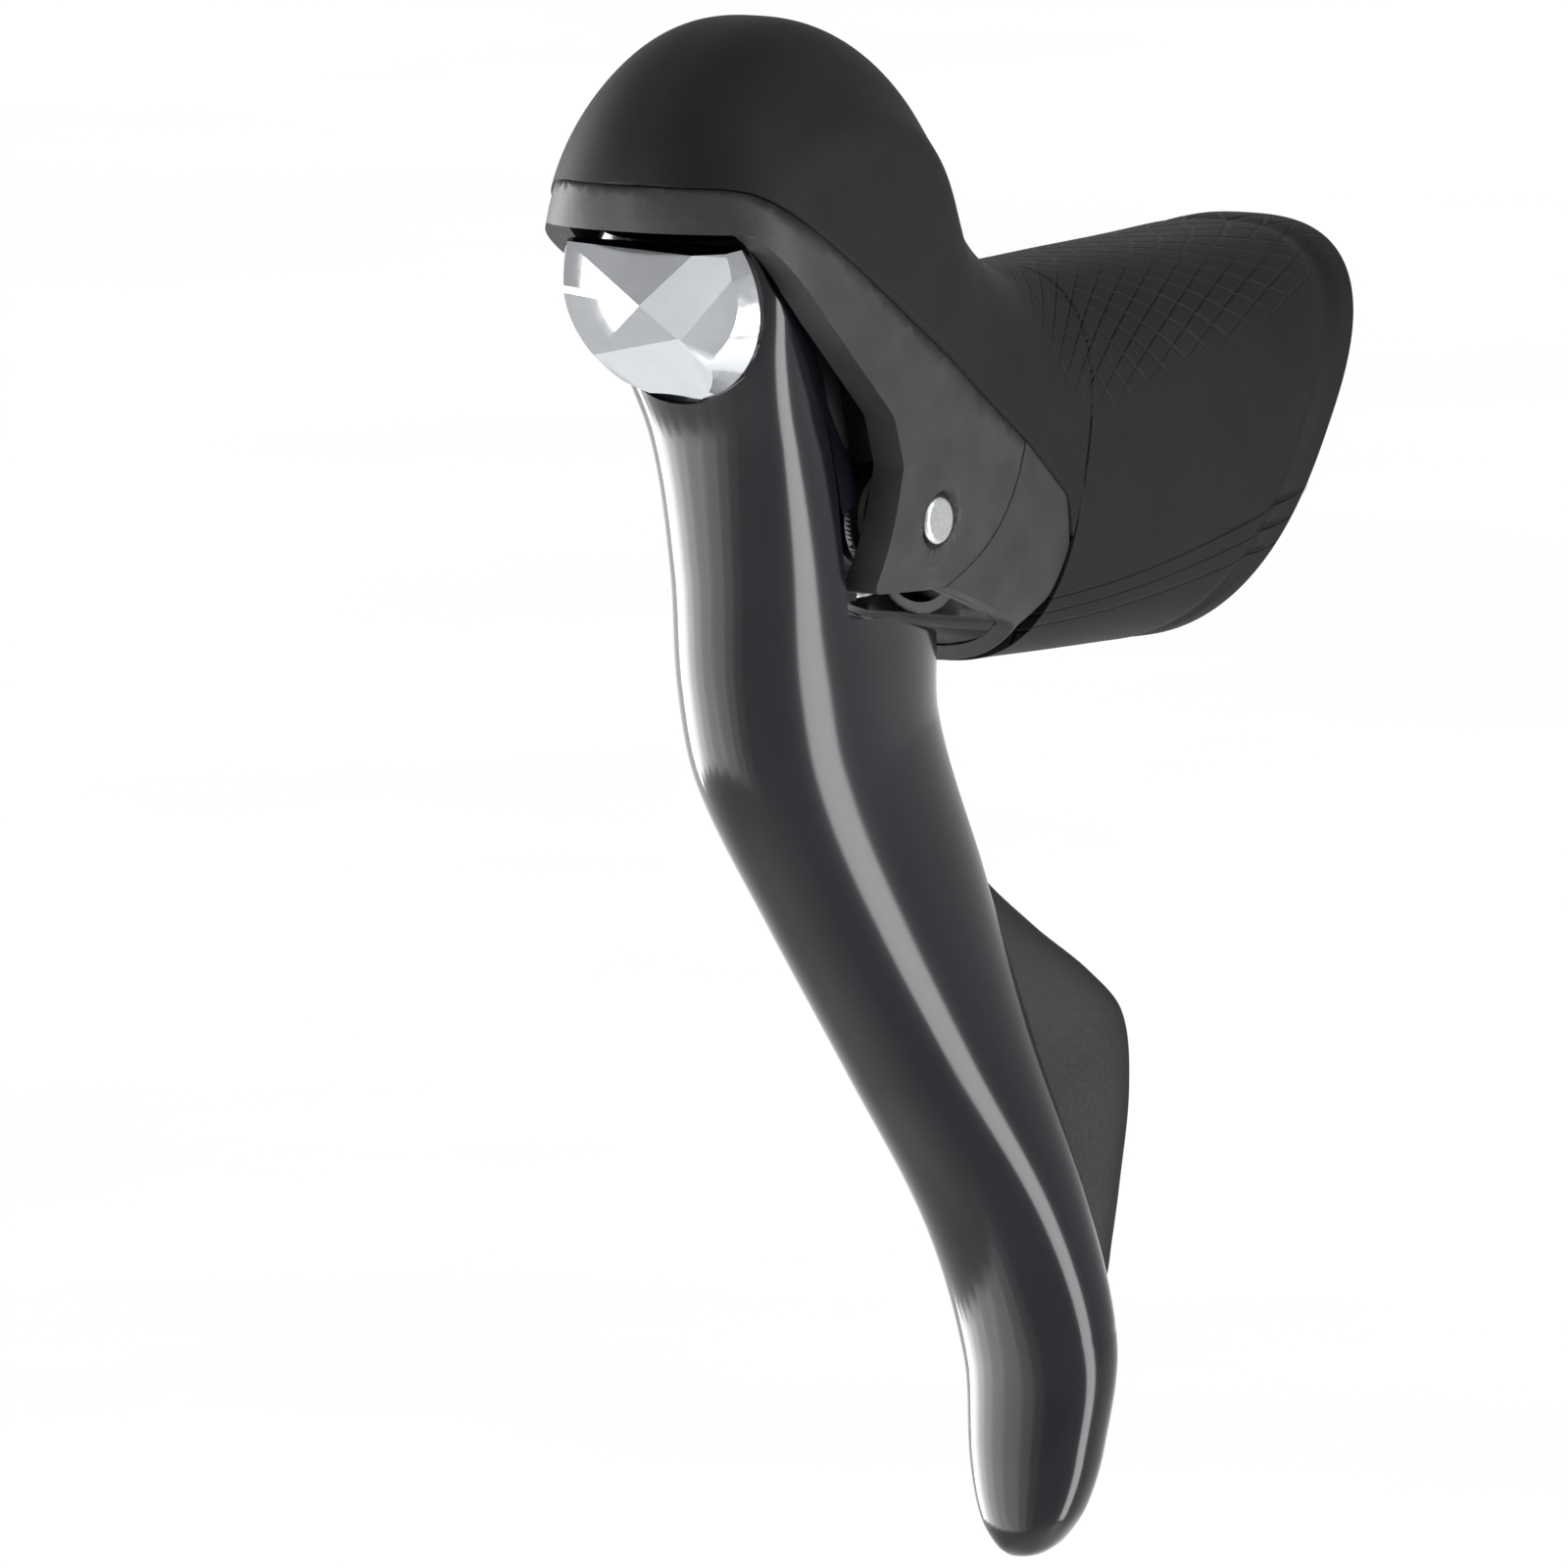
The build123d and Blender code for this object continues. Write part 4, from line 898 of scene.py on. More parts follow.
@dataclass
class Hood(SubAssembly):
    """The rubber hood: a thin shell with a diamond grip on its top and grooves along its sides.

    Attributes:
        form: the form that the hood's outer face follows.
        wall: thickness of the rubber.
        rows: sections along the hood.
        columns: points round each section.
        crowding: how strongly the rows crowd towards the nose, as a share.
        across_count: diamonds round half a turn.
        first_pitch: length of the first diamond.
        pitch_growth: how much longer a diamond is for each millimetre along.
        grip_start: how far ahead of the saddle the diamonds begin.
        grip_length: how long the patch of diamonds is.
        grip_sides: the angle from the back that the diamonds reach, by the distance along.
        groove_x: x of the grooves' front ends.
        groove_run: the grooves' length.
        groove_z: z of the middle groove in front, and its rise to the rear.
        groove_pitch: the space between two grooves in front, and its growth to the rear.
        crease: height of the crease down each side of the horn.
        crease_angle: the crease's angle from the back, and its width.
        lip: depth of the hollow ahead of the lip round the rear opening.
        lip_place: the hollow's distance from the rear end, and its width.
    """

    form: OuterForm
    wall: float = 2.0
    rows: int = 300
    columns: int = 151
    crowding: float = 0.35
    across_count: float = 17.0
    first_pitch: float = 1.1
    pitch_growth: float = 0.042
    grip_start: float = 10.0
    grip_length: float = 66.0
    grip_sides: Curve = ((0.0, 1.2), (12.0, 1.5), (45.0, 1.05), (62.0, 0.5))
    groove_x: float = 58.0
    groove_run: float = 62.0
    groove_z: Pair = (-16.8, 14.5)
    groove_pitch: Pair = (1.6, 1.2)
    crease: float = 0.9
    crease_angle: Pair = (0.95, 0.13)
    lip: float = 0.5
    lip_place: Pair = (4.5, 1.3)

    def places(self) -> Array:
        """Places of the rows, from where the back first rises over the rim to the rear end.

        The places follow the share's square for a part and the share itself for the rest.

        Returns:
            The places, rising.
        """
        end = self.form.place[-2]
        dense = np.linspace(self.form.place[0], end, 4000)
        start = dense[np.argmax(self.form.along(dense)[0][:, 1] > self.form.rim_top)]
        share = np.linspace(0, 1, self.rows)
        return start + (end - start) * (self.crowding * share**2 + (1 - self.crowding) * share)

    def angles(self, at: Array) -> Array:
        """Rows of angles, evenly from the inner front edge over the back to the outer one."""
        edge = self.form.edge_angle(at, self.form.hood_edge())
        return np.linspace(-1, 1, self.columns)[None, :] * edge[:, None]

    def saddle_place(self) -> float:
        """The place of the saddle's section along the form."""
        return float(self.form.place[np.argmin(np.abs(self.form.rows[:, :2] - self.form.saddle).sum(axis=1))])

    def diamonds(self, at: Array, angle: Array) -> tuple[Array, Array, Array]:
        """Counts of the diamonds along and round the hood, and how strong they are.

        The pitch grows with the distance from the saddle, so the count is a logarithm of that distance.
        The strength fades over a few millimetres at both ends, and over an angle at the sides.

        Args:
            at: the rows' places.
            angle: rows of angles from the back.

        Returns:
            The count along, the count round, and the strength from nought to one.
        """
        end_fade, side_fade = (7, 8), 0.35
        length = at[:, None] - self.saddle_place() + self.grip_start
        start, growth = self.first_pitch, self.pitch_growth
        along = np.log1p(growth * np.maximum(length, -0.9 / growth * start) / start) / growth / 2
        around = angle * self.across_count / np.pi
        sides = np.interp(length, *np.array(self.grip_sides).T)
        fade = np.clip(length / end_fade[0], 0, 1) * np.clip((self.grip_length - length) / end_fade[1], 0, 1)
        fade = fade * np.clip((sides - np.abs(angle)) / side_fade, 0, 1)
        return along + 0 * angle, around + 0 * along, fade

    def groove_count(self, points: Array) -> Array:
        """A count that is -1, 0 and 1 on three long grooves along the lower sides.

        The height over the middle groove is divided by the space between two. The middle one rises as
        the share of the run to the power of 1.7. Ahead of the grooves the count grows without end.

        Args:
            points: the hood's points.

        Returns:
            The count at each point.
        """
        x, z = points[..., 0], points[..., 2]
        run = np.clip((self.groove_x - x) / self.groove_run, 0, 1)
        middle = self.groove_z[0] + self.groove_z[1] * run**1.7
        pitch = self.groove_pitch[0] + self.groove_pitch[1] * run
        return (z - middle) / pitch + 0.5 * np.maximum(x - (self.groove_x - 3.0), 0)

    def height(self, at: Array, angle: Array) -> Array:
        """Relief of the form: a soft crease down each side of the horn, and a lip round the rear opening.

        The crease is a bell curve over the angle, faded by a smooth step at both ends of the horn. The
        lip is what a bell-curved hollow ahead of it leaves.

        Args:
            at: the rows' places.
            angle: rows of angles from the back.

        Returns:
            How far each point stands out of the form.
        """
        clear, fade, horn_end = 4, 14, self.form.place[len(self.form.horn_turns)]
        horn = np.clip((at - at[0] - clear) / fade, 0, 1) * np.clip((horn_end - at) / fade, 0, 1)
        horn = horn * horn * (3 - 2 * horn)
        crease = self.crease * bell(np.abs(angle), *self.crease_angle) * horn[:, None]
        return crease - self.lip * bell(at[-1] - at, *self.lip_place)[:, None]

    def build(self) -> None:
        """Builds the outer face as rows of points, lifts its relief and gives it a wall inwards."""
        at = self.places()
        angle = self.angles(at)
        points = self.form.surface(at, angle)
        along, around, fade = self.diamonds(at, angle)
        grooves = self.groove_count(points)
        normal = grid_normals(points)
        middle = points.mean(axis=1, keepdims=True)
        normal *= np.sign(np.sum(normal * (points - middle), axis=-1, keepdims=True))
        points = points + normal * self.height(at, angle)[..., None]
        maps = {"grip": np.stack([along, around], axis=-1).reshape(-1, 2),
                "reach": np.stack([fade, grooves], axis=-1).reshape(-1, 2)}
        faces = grid_faces(*angle.shape, False).tolist()
        piece = add_object("hood_shell", points.reshape(-1, 3), faces, 60.0, maps)
        modifier(piece, "SOLIDIFY", thickness=self.wall * MM, offset=-1.0, use_even_offset=False)
        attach(piece, Body.BRACKET.value)
        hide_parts("hood")
        self.pieces = [piece]

    def dress(self) -> None:
        """Gives the shell its rubber."""
        HOOD_RUBBER.dress(self.pieces[0])


# ---------------------------------------------------------------- lever and paddle


@dataclass
class Blade(SubAssembly):
    """The long flared blade: solid in front, with an outer wall that shelters the paddle behind it.

    Attributes:
        guide: the frame's places.
        fullness: exponent of the sections' ovals.
        top: how far below the shift axis the head begins.
        tip: how far below the shift axis the blade ends.
        rows: sections down the blade.
        crowding: how strongly the rows crowd towards the head and the tip, as a share.
        around: points round the front of each section.
        front_turn: the angle each way from the front at which the front's points end.
        seat: how far behind the nameplate's back its seat lies.
        seat_radius: radius of that seat.
        sections: drop, front, rear, middle across and half width of each section.
        back_limit: how far back the blade reaches, by the drop.
        channel_front: how far back the face in front of the paddle lies, by the drop.
        channel_side: how far across the inside of the outer wall lies, by the drop.
    """

    guide: Guide
    fullness: float = 2.3
    top: float = -5.8
    tip: float = 158.0
    rows: int = 330
    crowding: float = 0.035
    around: int = 90
    front_turn: float = 0.9
    seat: float = 0.3
    seat_radius: float = 13.75
    sections: tuple[tuple[float, float, float, float, float], ...] = (
        (-5.8, 0.3, 13.0, 0.0, 11.7), (-2.0, 0.3, 13.0, 0.1, 12.8), (2.0, -0.6, 13.3, 0.3, 13.0),
        (8.0, -1.4, 14.4, 0.8, 12.3), (20.0, -0.6, 18.0, 1.4, 10.7), (36.0, -1.2, 27.0, 0.8, 11.0),
        (50.0, -2.4, 36.0, -0.2, 11.8), (62.0, -2.2, 33.6, 0.2, 11.4), (80.0, 1.4, 33.2, 3.8, 10.2),
        (100.0, 5.8, 30.4, 9.0, 9.5), (120.0, 9.6, 26.8, 15.0, 9.5), (136.0, 9.0, 23.4, 18.3, 9.35),
        (147.0, 5.4, 18.2, 18.8, 8.2), (153.0, 3.9, 14.8, 18.9, 6.5), (156.4, 4.1, 12.2, 18.8, 4.2),
        (157.7, 5.0, 10.4, 18.8, 2.2), (158.0, 6.4, 8.8, 18.8, 0.6))
    back_limit: Curve = ((-10.0, 11.0), (43.5, 11.0), (45.6, 16.4), (51.9, 29.5), (59.2, 39.6), (64.0, 60.0))
    channel_front: Curve = ((39.0, 11.0), (41.0, 10.6), (84.0, 10.6), (106.0, 14.6), (134.0, 22.0),
                            (137.0, 60.0))
    channel_side: Curve = ((40.0, 8.8), (62.0, 9.0), (80.0, 11.6), (100.0, 16.2), (120.0, 22.0),
                           (138.0, 24.4))

    def drops(self) -> Array:
        """Drops of the rows: the share down the blade plus a small sine, which crowds them at both ends."""
        share = np.linspace(0, 1, self.rows)
        return self.top + (self.tip - self.top) * (share + self.crowding * np.sin(2 * np.pi * share))

    def oval_side(self, share: Array, half: Array) -> Array:
        """How far an oval reaches one way at a share of the other.

        That is its half size times one less the share to the fullness, to the power of one over it.

        Args:
            share: the place along the oval's other axis, from nought in the middle to one at the end.
            half: the oval's half size.

        Returns:
            The distance from the oval's middle.
        """
        return half * (1 - share**self.fullness) ** (1 / self.fullness)

    def side_at(self, behind: Array, side: Side, row: Array) -> Array:
        """How far across the section's side lies at a distance behind the nameplate.

        Args:
            behind: the distance, one for each section.
            side: which side.
            row: front, rear, middle and half width of each section.

        Returns:
            The distance across, outwards.
        """
        front, rear, middle, half = row.T
        share = np.clip(np.abs(behind - (front + rear) / 2) / ((rear - front) / 2), 0, 1)
        return middle + side.value * self.oval_side(share, half)

    def limits(self, drop: Array, row: Array) -> tuple[Array, Array, Array]:
        """Where each section's back and the channel behind it lie.

        Below the head the back comes no nearer than the channel's face, and no further than where the
        oval meets the inside of the outer wall.

        Args:
            drop: the sections' drops.
            row: front, rear, middle and half width of each section.

        Returns:
            How far back the section reaches, how far back the face before the paddle lies, and how far
            across the inside of the outer wall lies.
        """
        front, rear, middle, half = row.T
        limit = np.minimum(rear, np.interp(drop, *np.array(self.back_limit).T))
        face = np.minimum(limit, np.interp(drop, *np.array(self.channel_front).T, left=np.inf))
        inside = np.interp(drop, *np.array(self.channel_side).T)
        reach = self.oval_side(np.clip((inside - middle) / half, 0, 1), (rear - front) / 2)
        wall_end = (rear + front) / 2 + reach
        opened = drop > self.channel_side[0][0]
        return np.where(opened, np.minimum(limit, np.maximum(wall_end, face)), limit), face, inside

    def front(self, row: Array, face: Array, limit: Array) -> tuple[Array, Array]:
        """The section's outline round the front, from its inner to its outer side.

        The distance back is the middle less the half depth by the cosine to the power of two over the
        fullness; the distance across is the middle plus the half width by the sine likewise. The angle
        runs evenly over the front, and from there to where the face and the back begin.

        Args:
            row: front, rear, middle and half width of each section.
            face: how far back the outline begins on the inner side.
            limit: how far back it ends on the outer side.

        Returns:
            Distances behind the nameplate and across, sections by points.
        """
        near, rear, middle, half = row.T
        deep, centre = (rear - near) / 2, (rear + near) / 2
        start = np.arccos(np.clip((centre - face) / deep, -1, 1))
        end = np.arccos(np.clip((centre - limit) / deep, -1, 1))
        fixed, share = self.front_turn, np.linspace(0, 1, self.around // 3)[None, :]
        turn = np.concatenate([
            -start[:, None] + (start - fixed)[:, None] * share,
            np.linspace(-fixed, fixed, self.around)[None, 1:-1].repeat(self.rows, axis=0),
            fixed + (end - fixed)[:, None] * share], axis=1)
        power = 2 / self.fullness
        behind = centre[:, None] - deep[:, None] * signed_power(np.cos(turn), power)
        across = middle[:, None] + half[:, None] * signed_power(np.sin(turn), power)
        return np.minimum(behind, limit[:, None]), across

    def channel(self, row: Array, face: Array, limit: Array, inside: Array) -> tuple[Array, Array]:
        """The section's outline behind: over the wall's end, forward inside it and across the face.

        Each run is straight, its points at even shares between its ends.

        Args:
            row: front, rear, middle and half width of each section.
            face: how far back the face before the paddle lies.
            limit: how far back the outer wall ends.
            inside: how far across the inside of the outer wall lies.

        Returns:
            Distances behind the nameplate and across, sections by points.
        """
        outer, inner = self.side_at(limit, Side.OUTER, row), self.side_at(face, Side.INNER, row)
        wall = np.clip(inside, inner, outer)
        steps = np.linspace(0, 1, 12)[None, 1:]
        forward, sideways = steps, steps[:, :-1]
        behind = [np.stack([limit, limit], axis=1), limit[:, None] + (face - limit)[:, None] * forward,
                  np.repeat(face[:, None], sideways.shape[1], axis=1)]
        across = [np.stack([(outer + wall) / 2, wall], axis=1),
                  np.repeat(wall[:, None], forward.shape[1], axis=1),
                  wall[:, None] + (inner - wall)[:, None] * sideways]
        return np.concatenate(behind, axis=1), np.concatenate(across, axis=1)

    def recess(self, piece: Piece) -> None:
        """Cuts the round seat of the nameplate into the front of the head.

        The cutter is a circle about the shift axis, drawn from the seat to well ahead of the blade.

        Args:
            piece: the blade.
        """
        turn = full_turn(160)
        behind = np.array([[-25.0], [self.seat]])
        ring = self.guide.placed(behind, self.seat_radius * np.sin(turn), self.seat_radius * np.cos(turn))
        cutter = lofted("nameplate_seat_cutter", ring, 30.0)
        modifier(piece, "BOOLEAN", object=cutter, operation="DIFFERENCE", solver="EXACT")
        apply_modifiers(piece)
        bpy.data.objects.remove(cutter)
        shade(piece, 38.0)

    def build(self) -> None:
        """Builds the blade as closed sections down its length, and cuts the nameplate's seat."""
        drop = self.drops()
        row = smooth_rows(np.array(self.sections), drop)
        limit, face, inside = self.limits(drop, row)
        outlines = zip(self.front(row, face, limit), self.channel(row, face, limit, inside))
        behind, across = (np.concatenate(parts, axis=1) for parts in outlines)
        piece = lofted("brake_blade", self.guide.placed(behind, across, drop[:, None]), 38.0)
        self.recess(piece)
        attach(piece, Body.BLADE.value)
        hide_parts("lever_blade")
        self.pieces = [piece]

    def dress(self) -> None:
        """Gives the blade its dark lacquer."""
        BLADE_PAINT.dress(self.pieces[0])


@dataclass
class Paddle(SubAssembly):
    """The shift paddle: a boss and a flat arm on the shift axis, and a wide plate behind the blade.

    Attributes:
        guide: the frame's places.
        fullness: exponent of the plate's ovals.
        arm_fullness: exponent of the arm's ovals, which are nearly square.
        start: how far behind the nameplate the boss begins.
        boss_length: length of the boss, and depth of the arm.
        boss_radius: radius of the boss.
        boss_edge: width of the boss's chamfers.
        bore: radius of the hole for the shift spindle.
        arm_half: half width of the arm.
        arm_flare: how much wider the arm is at the axis, and the drop over which that fades.
        arm_reach: drops at which the arm begins and ends.
        sections: drop, distance back, middle across, half depth, half thickness and lean in degrees of
            each of the plate's sections.
    """

    guide: Guide
    fullness: float = 2.3
    arm_fullness: float = 5.0
    start: float = 11.3
    boss_length: float = 2.8
    boss_radius: float = 8.0
    boss_edge: float = 0.4
    bore: float = 3.05
    arm_half: float = 4.5
    arm_flare: Pair = (1.5, 9.0)
    arm_reach: Pair = (2.0, 50.0)
    sections: tuple[tuple[float, float, float, float, float, float], ...] = (
        (46.0, 13.2, 0.0, 1.7, 4.2, 0.0), (57.0, 18.0, 1.0, 4.6, 2.6, 2.0), (70.0, 22.5, 4.2, 5.8, 2.1, 8.0),
        (82.0, 22.9, 7.1, 8.0, 2.1, 14.0), (91.0, 26.7, 9.1, 10.0, 2.1, 18.0),
        (98.0, 30.2, 10.6, 12.0, 2.1, 22.0), (104.0, 32.3, 12.2, 12.6, 2.1, 24.0),
        (112.0, 31.1, 14.7, 10.4, 2.0, 25.0), (122.0, 28.6, 17.0, 6.6, 1.9, 25.0),
        (128.0, 27.2, 17.8, 4.6, 1.6, 25.0), (132.4, 26.2, 18.5, 2.8, 1.3, 25.0),
        (133.0, 26.1, 18.6, 1.6, 0.7, 25.0))

    def plate(self) -> Piece:
        """Builds the plate: thin squarish ovals that widen, lean outwards and round off at the end.

        Each oval's depth and thickness follow the cosine and the sine of its angle to the power of two
        over the fullness, turned by the lean.

        Returns:
            The plate.
        """
        rows = np.array(self.sections)
        drop = np.linspace(rows[0, 0], rows[-1, 0], 150)
        behind, middle, deep, thick, lean = (column[:, None] for column in smooth_rows(rows, drop).T)
        turn, power = full_turn(64), 2 / self.fullness
        depth, width = deep * signed_power(np.cos(turn), power), thick * signed_power(np.sin(turn), power)
        lean = np.radians(lean)
        across = middle + width * np.cos(lean) + depth * np.sin(lean)
        back = behind + depth * np.cos(lean) - width * np.sin(lean)
        return lofted("shift_paddle_plate", self.guide.placed(back, across, drop[:, None]), 50.0)

    def arm(self) -> Piece:
        """Builds the arm: rounded flat sections from the boss down to the plate.

        The half width swells at the axis by a flare that falls off as e to minus the drop over its reach.

        Returns:
            The arm.
        """
        drop = np.linspace(*self.arm_reach, 40)[:, None]
        turn, power, half = full_turn(40), 2 / self.arm_fullness, self.boss_length / 2
        flare, fade = self.arm_flare
        across = (self.arm_half + flare * np.exp(-drop / fade)) * signed_power(np.sin(turn), power)
        behind = self.start + half - half * signed_power(np.cos(turn), power)
        return lofted("shift_paddle_arm", self.guide.placed(behind, across, drop), 50.0)

    def boss(self) -> Piece:
        """Builds the boss: a chamfered ring, its profile turned about the shift axis.

        Returns:
            The boss.
        """
        low, high, edge, rim = self.start, self.start + self.boss_length, self.boss_edge, self.boss_radius
        profile = np.array([(low, self.bore), (low, rim - edge), (low + edge, rim), (high - edge, rim),
                            (high, rim - edge), (high, self.bore)])
        turn = full_turn(96).T
        behind, radius = profile[None, :, 0], profile[None, :, 1]
        points = self.guide.placed(behind, radius * np.sin(turn), radius * np.cos(turn))
        points = np.concatenate([points, points[:1]])
        faces = grid_faces(*points.shape[:2], True).tolist()
        return add_object("shift_paddle_boss", points.reshape(-1, 3), faces, 30.0)

    def build(self) -> None:
        """Builds the three pieces, which together stand for the one CAD node."""
        self.pieces = [self.plate(), self.arm(), self.boss()]
        for piece in self.pieces:
            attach(piece, Body.PADDLE.value)
        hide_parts("shift_paddle")

    def dress(self) -> None:
        """Gives the three pieces the paddle's resin."""
        for piece in self.pieces:
            PADDLE_RESIN.dress(piece)


# ---------------------------------------------------------------- pieces that keep the CAD's form


@dataclass(frozen=True)
class Smoothed:
    """A CAD node that a merged and smoothly shaded copy stands for.

    Attributes:
        node: the node's name.
        name: the copy's name.
        body: the body that it rides on.
        finish: its finish.
        sharp: edges sharper than this angle, in degrees, stay sharp.
        even: whether large faces rule the shading of the rounded ones that they meet.
    """

    node: str
    name: str
    body: Body
    finish: Finish
    sharp: float
    even: bool = True

    def build(self) -> Piece:
        """Copies the node's mesh, merges its loose triangles and shades it.

        Returns:
            The copy.
        """
        mesh = bpy.data.objects[self.node].data.copy()
        mesh.materials.clear()
        piece = linked(self.name, mesh)
        weld(piece)
        shade(piece, self.sharp)
        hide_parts(self.node)
        if self.even:
            modifier(piece, "WEIGHTED_NORMAL", keep_sharp=True, weight=60)
        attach(piece, self.body.value)
        return piece


@dataclass
class Carried(SubAssembly):
    """A sub-assembly whose pieces keep the CAD's form.

    Attributes:
        nodes: the frame's nodes by name.
        smoothed: nodes that a smooth copy stands for.
        plain: nodes that stay as they are, each with its finish.
    """

    nodes: dict[str, Piece]
    smoothed: tuple[Smoothed, ...] = ()
    plain: tuple[tuple[str, Finish], ...] = ()

    def build(self) -> None:
        """Builds the smooth copies."""
        self.pieces = [copy.build() for copy in self.smoothed]

    def dress(self) -> None:
        """Gives each copy and each plain node its finish."""
        for copy, piece in zip(self.smoothed, self.pieces):
            copy.finish.dress(piece)
        for name, finish in self.plain:
            finish.dress(self.nodes[name])


@dataclass
class Bracket(Carried):
    """The fixed bracket: its casting and side covers, and the bar clamp."""

    smoothed: tuple[Smoothed, ...] = (
        Smoothed("bracket_body", "bracket_casting", Body.BRACKET, BRACKET_RESIN, sharp=25.0),
        Smoothed("lower_cover", "side_covers", Body.BRACKET, COVER_RESIN, sharp=25.0))
    plain: tuple[tuple[str, Finish], ...] = (
        ("clamp_band", BAND_STEEL), ("cross_nut", SCREW_STEEL), ("clamp_bolt", SCREW_STEEL))


@dataclass
class Nameplate(Carried):
    """The plated and faceted plate in the head of the lever, left bare."""

    smoothed: tuple[Smoothed, ...] = (
        Smoothed("nameplate", "faceted_nameplate", Body.BRAKE_LEVER, PLATE_CHROME, sharp=12.0),)


@dataclass
class BrakePivot(Carried):
    """The brake pivot: its pin and clip, the bushings and the return spring."""

    smoothed: tuple[Smoothed, ...] = (
        Smoothed("pivot_pin", "pivot_pin_turned", Body.BRACKET, PIN_STEEL, sharp=35.0),)
    plain: tuple[tuple[str, Finish], ...] = (
        ("pin_clip", SPRING_STEEL), ("return_spring", SPRING_STEEL), ("pin_bushing_outer", BUSHING_POLYMER),
        ("pin_bushing_inner", BUSHING_POLYMER))


@dataclass
class LeverSupport(Carried):
    """What turns on the brake pivot: the forged support, the side guard and the shift spindle."""

    smoothed: tuple[Smoothed, ...] = (
        Smoothed("lever_support", "support_forging", Body.BRAKE_LEVER, SUPPORT_FORGING, sharp=30.0),
        Smoothed("side_guard", "blade_side_guard", Body.BRAKE_LEVER, BLADE_PAINT, sharp=25.0, even=False))
    plain: tuple[tuple[str, Finish], ...] = (
        ("shift_spindle", PIN_STEEL), ("spindle_nut", SCREW_STEEL), ("reach_screw", SCREW_STEEL))


@dataclass
class Reel(Carried):
    """The cable reel and its ratchet."""

    plain: tuple[tuple[str, Finish], ...] = (("reel_ratchet", RATCHET_STEEL), ("cable_reel", REEL_RESIN))


@dataclass
class Cylinder(Carried):
    """The master cylinder with its piston, and the reservoir under its cover."""

    plain: tuple[tuple[str, Finish], ...] = (
        ("master_cylinder", CYLINDER_ALUMINIUM), ("piston", CYLINDER_ALUMINIUM),
        ("piston_seals", SEAL_RUBBER), ("push_rod", PIN_STEEL), ("reservoir_diaphragm", SEAL_RUBBER),
        ("reservoir_cover", LID_ALUMINIUM), ("cover_screws", SCREW_STEEL))


# ---------------------------------------------------------------- studio


def facing(azimuth: float, elevation: float) -> tuple[Array, Array, Array]:
    """Right, up and back directions of something that looks at the lever.

    Back is the sine and less the cosine of the azimuth, times the cosine of the elevation, and its sine
    upwards; right is level, and up is the cross product of back and right.

    Args:
        azimuth: degrees round the lever; nought is behind it.
        elevation: degrees above the level.

    Returns:
        The three directions.
    """
    turn, lift = math.radians(azimuth), math.radians(elevation)
    back = np.array([math.sin(turn) * math.cos(lift), -math.cos(turn) * math.cos(lift), math.sin(lift)])
    right = np.array([math.cos(turn), math.sin(turn), 0.0])
    return right, np.cross(back, right), back


def matrix(right: Array, up: Array, back: Array, place: Array) -> Matrix:
    """A placing matrix from three directions and a point, its columns."""
    rows = np.stack([right, up, back, place], axis=1)
    return Matrix([*rows.tolist(), [0.0, 0.0, 0.0, 1.0]])


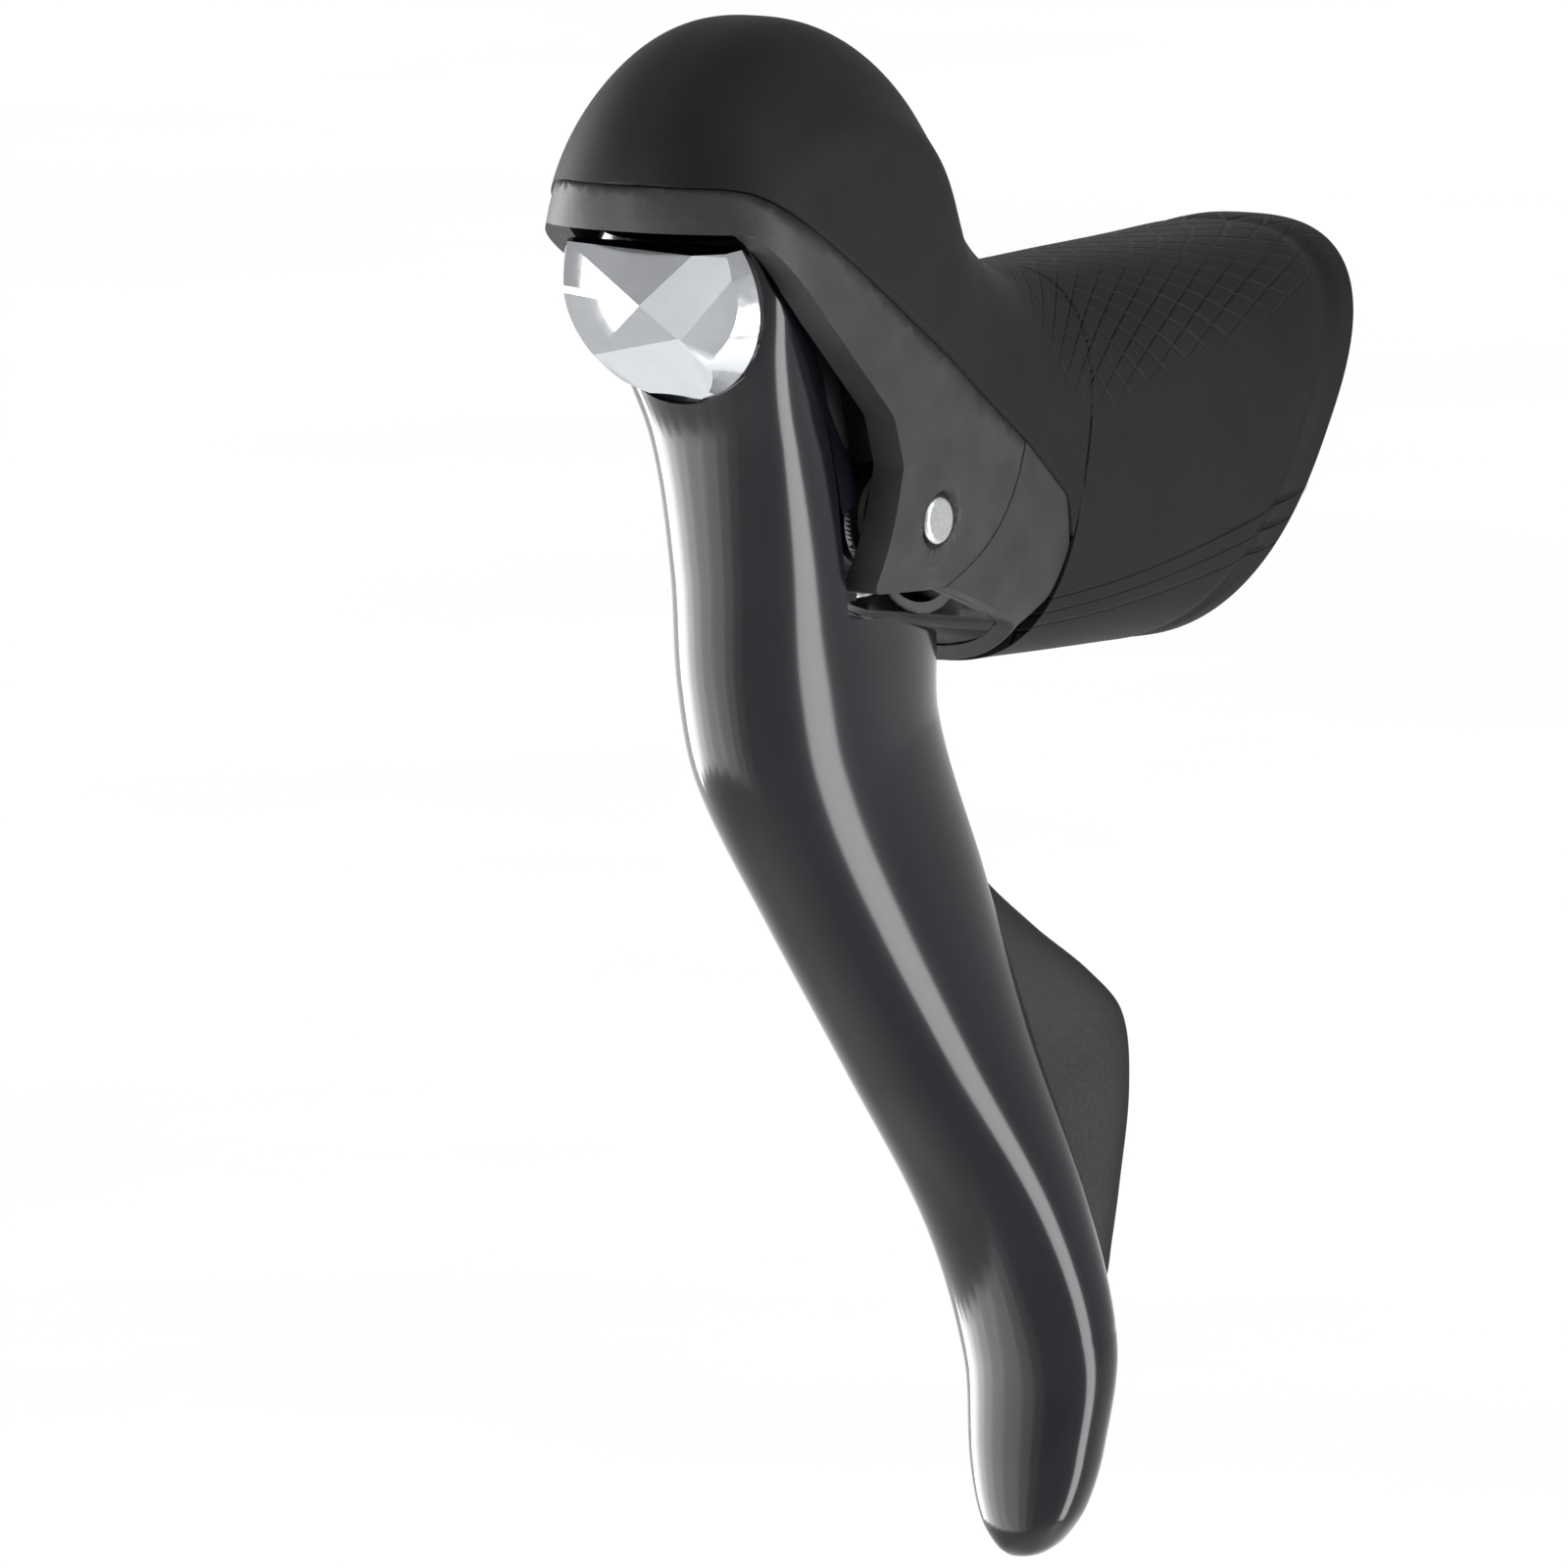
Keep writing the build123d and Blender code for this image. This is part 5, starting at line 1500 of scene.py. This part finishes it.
@dataclass
class Studio:
    """A pale floor, soft lights and a long-lens camera ahead of the lever on its outer side.

    Attributes:
        azimuth: the camera's degrees round the lever.
        elevation: the camera's degrees above the level.
        frame_width: how much the frame spans at the lever, in millimetres.
        aim: how far right of the origin and above it the camera aims, in millimetres.
        lens: focal length, in millimetres.
        sensor: width of the sensor, in millimetres.
        floor_drop: how far below the lever the floor lies, so that no shadow reaches the frame.
        floor_reach: half the floor's width, in millimetres.
        sky: strength of the white world.
        lit: the point that the lamps face, in millimetres.
        strips: how many strips make the graded light on the left.
        strip_size: a strip's width and height, in metres.
        strip_first: azimuth and elevation of the first strip.
        strip_span: how far round and up from it the last one is.
        strip_light: radiance of the first strip above that of the last, and of the last.
        strip_fade: power of the share by which the strips fade.
        panel: azimuth, elevation and power of the panel on the right.
        panel_size: its width and height, in metres.
        sun: azimuth, elevation and strength of the broad light from above.
        sun_width: that light's width, in degrees.
    """

    azimuth: float = 124.0
    elevation: float = 6.0
    frame_width: float = 184.76
    aim: Pair = (-49.85, -42.26)
    lens: float = 1000.0
    sensor: float = 36.0
    floor_drop: float = 900.0
    floor_reach: float = 40000.0
    sky: float = 0.8
    lit: tuple[float, float, float] = (50.0, 0.0, -30.0)
    strips: int = 8
    strip_size: Pair = (0.24, 0.95)
    strip_first: Pair = (-6.0, 3.0)
    strip_span: Pair = (92.0, -18.0)
    strip_light: Pair = (13.0, 0.5)
    strip_fade: float = 1.2
    panel: tuple[float, float, float] = (186.0, -5.0, 26.0)
    panel_size: Pair = (0.42, 1.6)
    sun: tuple[float, float, float] = (140.0, 55.0, 1.15)
    sun_width: float = 60.0

    def camera(self) -> None:
        """Places the camera so that its frame is as wide as wanted at the lever."""
        right, up, back = facing(self.azimuth, self.elevation)
        distance = self.frame_width * self.lens / self.sensor
        place = right * self.aim[0] + up * self.aim[1] + back * distance
        data = bpy.data.cameras.new("long_lens")
        data.lens, data.sensor_width = self.lens, self.sensor
        data.clip_start, data.clip_end = 0.01, 100.0
        camera = linked("long_lens", data)
        camera.matrix_world = matrix(right, up, back, place * MM)
        bpy.context.scene.camera = camera

    def lamp(self, name: str, azimuth: float, elevation: float, size: Pair, power: float) -> None:
        """A soft rectangular light a metre away that faces the lever and doesn't show itself.

        Args:
            name: the lamp's name.
            azimuth: its degrees round the lever.
            elevation: its degrees above the level.
            size: its width and height, in metres.
            power: its power, in watts.
        """
        right, up, back = facing(azimuth, elevation)
        data = bpy.data.lights.new(name, "AREA")
        data.shape, data.size, data.size_y, data.energy = "RECTANGLE", size[0], size[1], power
        light = linked(name, data)
        light.matrix_world = matrix(right, up, back, np.array(self.lit) * MM + back)
        light.visible_camera = False

    def graded_light(self) -> None:
        """A row of strips that fade from the left towards the camera, as a large curved panel does.

        A strip's power is its radiance times its area times pi.
        """
        most, least = self.strip_light
        for k, share in enumerate(np.linspace(0, 1, self.strips)):
            radiance = most * (1 - share) ** self.strip_fade + least
            power = radiance * math.pi * self.strip_size[0] * self.strip_size[1]
            azimuth = self.strip_first[0] + self.strip_span[0] * share
            elevation = self.strip_first[1] + self.strip_span[1] * share
            self.lamp(f"left_strip_{k}", azimuth, elevation, self.strip_size, power)

    def high_light(self) -> None:
        """A broad, very soft light from far away that keeps the floor even."""
        azimuth, elevation, strength = self.sun
        right, up, back = facing(azimuth, elevation)
        data = bpy.data.lights.new("broad_sun", "SUN")
        data.energy, data.angle = strength, math.radians(self.sun_width)
        linked("broad_sun", data).matrix_world = matrix(right, up, back, back)

    def world(self) -> None:
        """A plain white world, and plain handling of its colours."""
        world = bpy.data.worlds.new("studio")
        bpy.context.scene.world = world
        world.use_nodes = True
        background = world.node_tree.nodes["Background"]
        background.inputs["Color"].default_value = (1.0, 1.0, 1.0, 1.0)
        background.inputs["Strength"].default_value = self.sky
        bpy.context.scene.view_settings.view_transform = "Standard"

    def floor(self, lowest: float) -> None:
        """A wide square of pale board.

        Args:
            lowest: the lever's lowest point, in metres.
        """
        height, reach = lowest / MM - self.floor_drop, self.floor_reach
        corners = np.array([(-reach, -reach, height), (reach, -reach, height), (reach, reach, height),
                            (-reach, reach, height)])
        board = add_object("floor", corners, [(0, 1, 2, 3)])
        STUDIO_BOARD.dress(board)
        board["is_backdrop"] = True

    def build(self, lowest: float) -> None:
        """Builds the floor, the world, the lights and the camera.

        Args:
            lowest: the lever's lowest point, in metres.
        """
        self.floor(lowest)
        self.world()
        self.graded_light()
        azimuth, elevation, power = self.panel
        self.lamp("right_panel", azimuth, elevation, self.panel_size, power)
        self.high_light()
        self.camera()


def main() -> None:
    """Builds the sub-assemblies in order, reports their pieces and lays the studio."""
    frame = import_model()
    cad_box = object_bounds()
    guide, nodes = Guide.read(frame), frame["nodes"]
    for part in (Hood(OuterForm(guide)), Blade(guide), Paddle(guide), Bracket(nodes), Nameplate(nodes),
                 BrakePivot(nodes), LeverSupport(nodes), Reel(nodes), Cylinder(nodes)):
        part.build()
        part.dress()
        part.report()
    Studio().build(min(corner[2] for corner in cad_box))


if __name__ == "__main__":
    logging.basicConfig(level=logging.INFO)
    main()
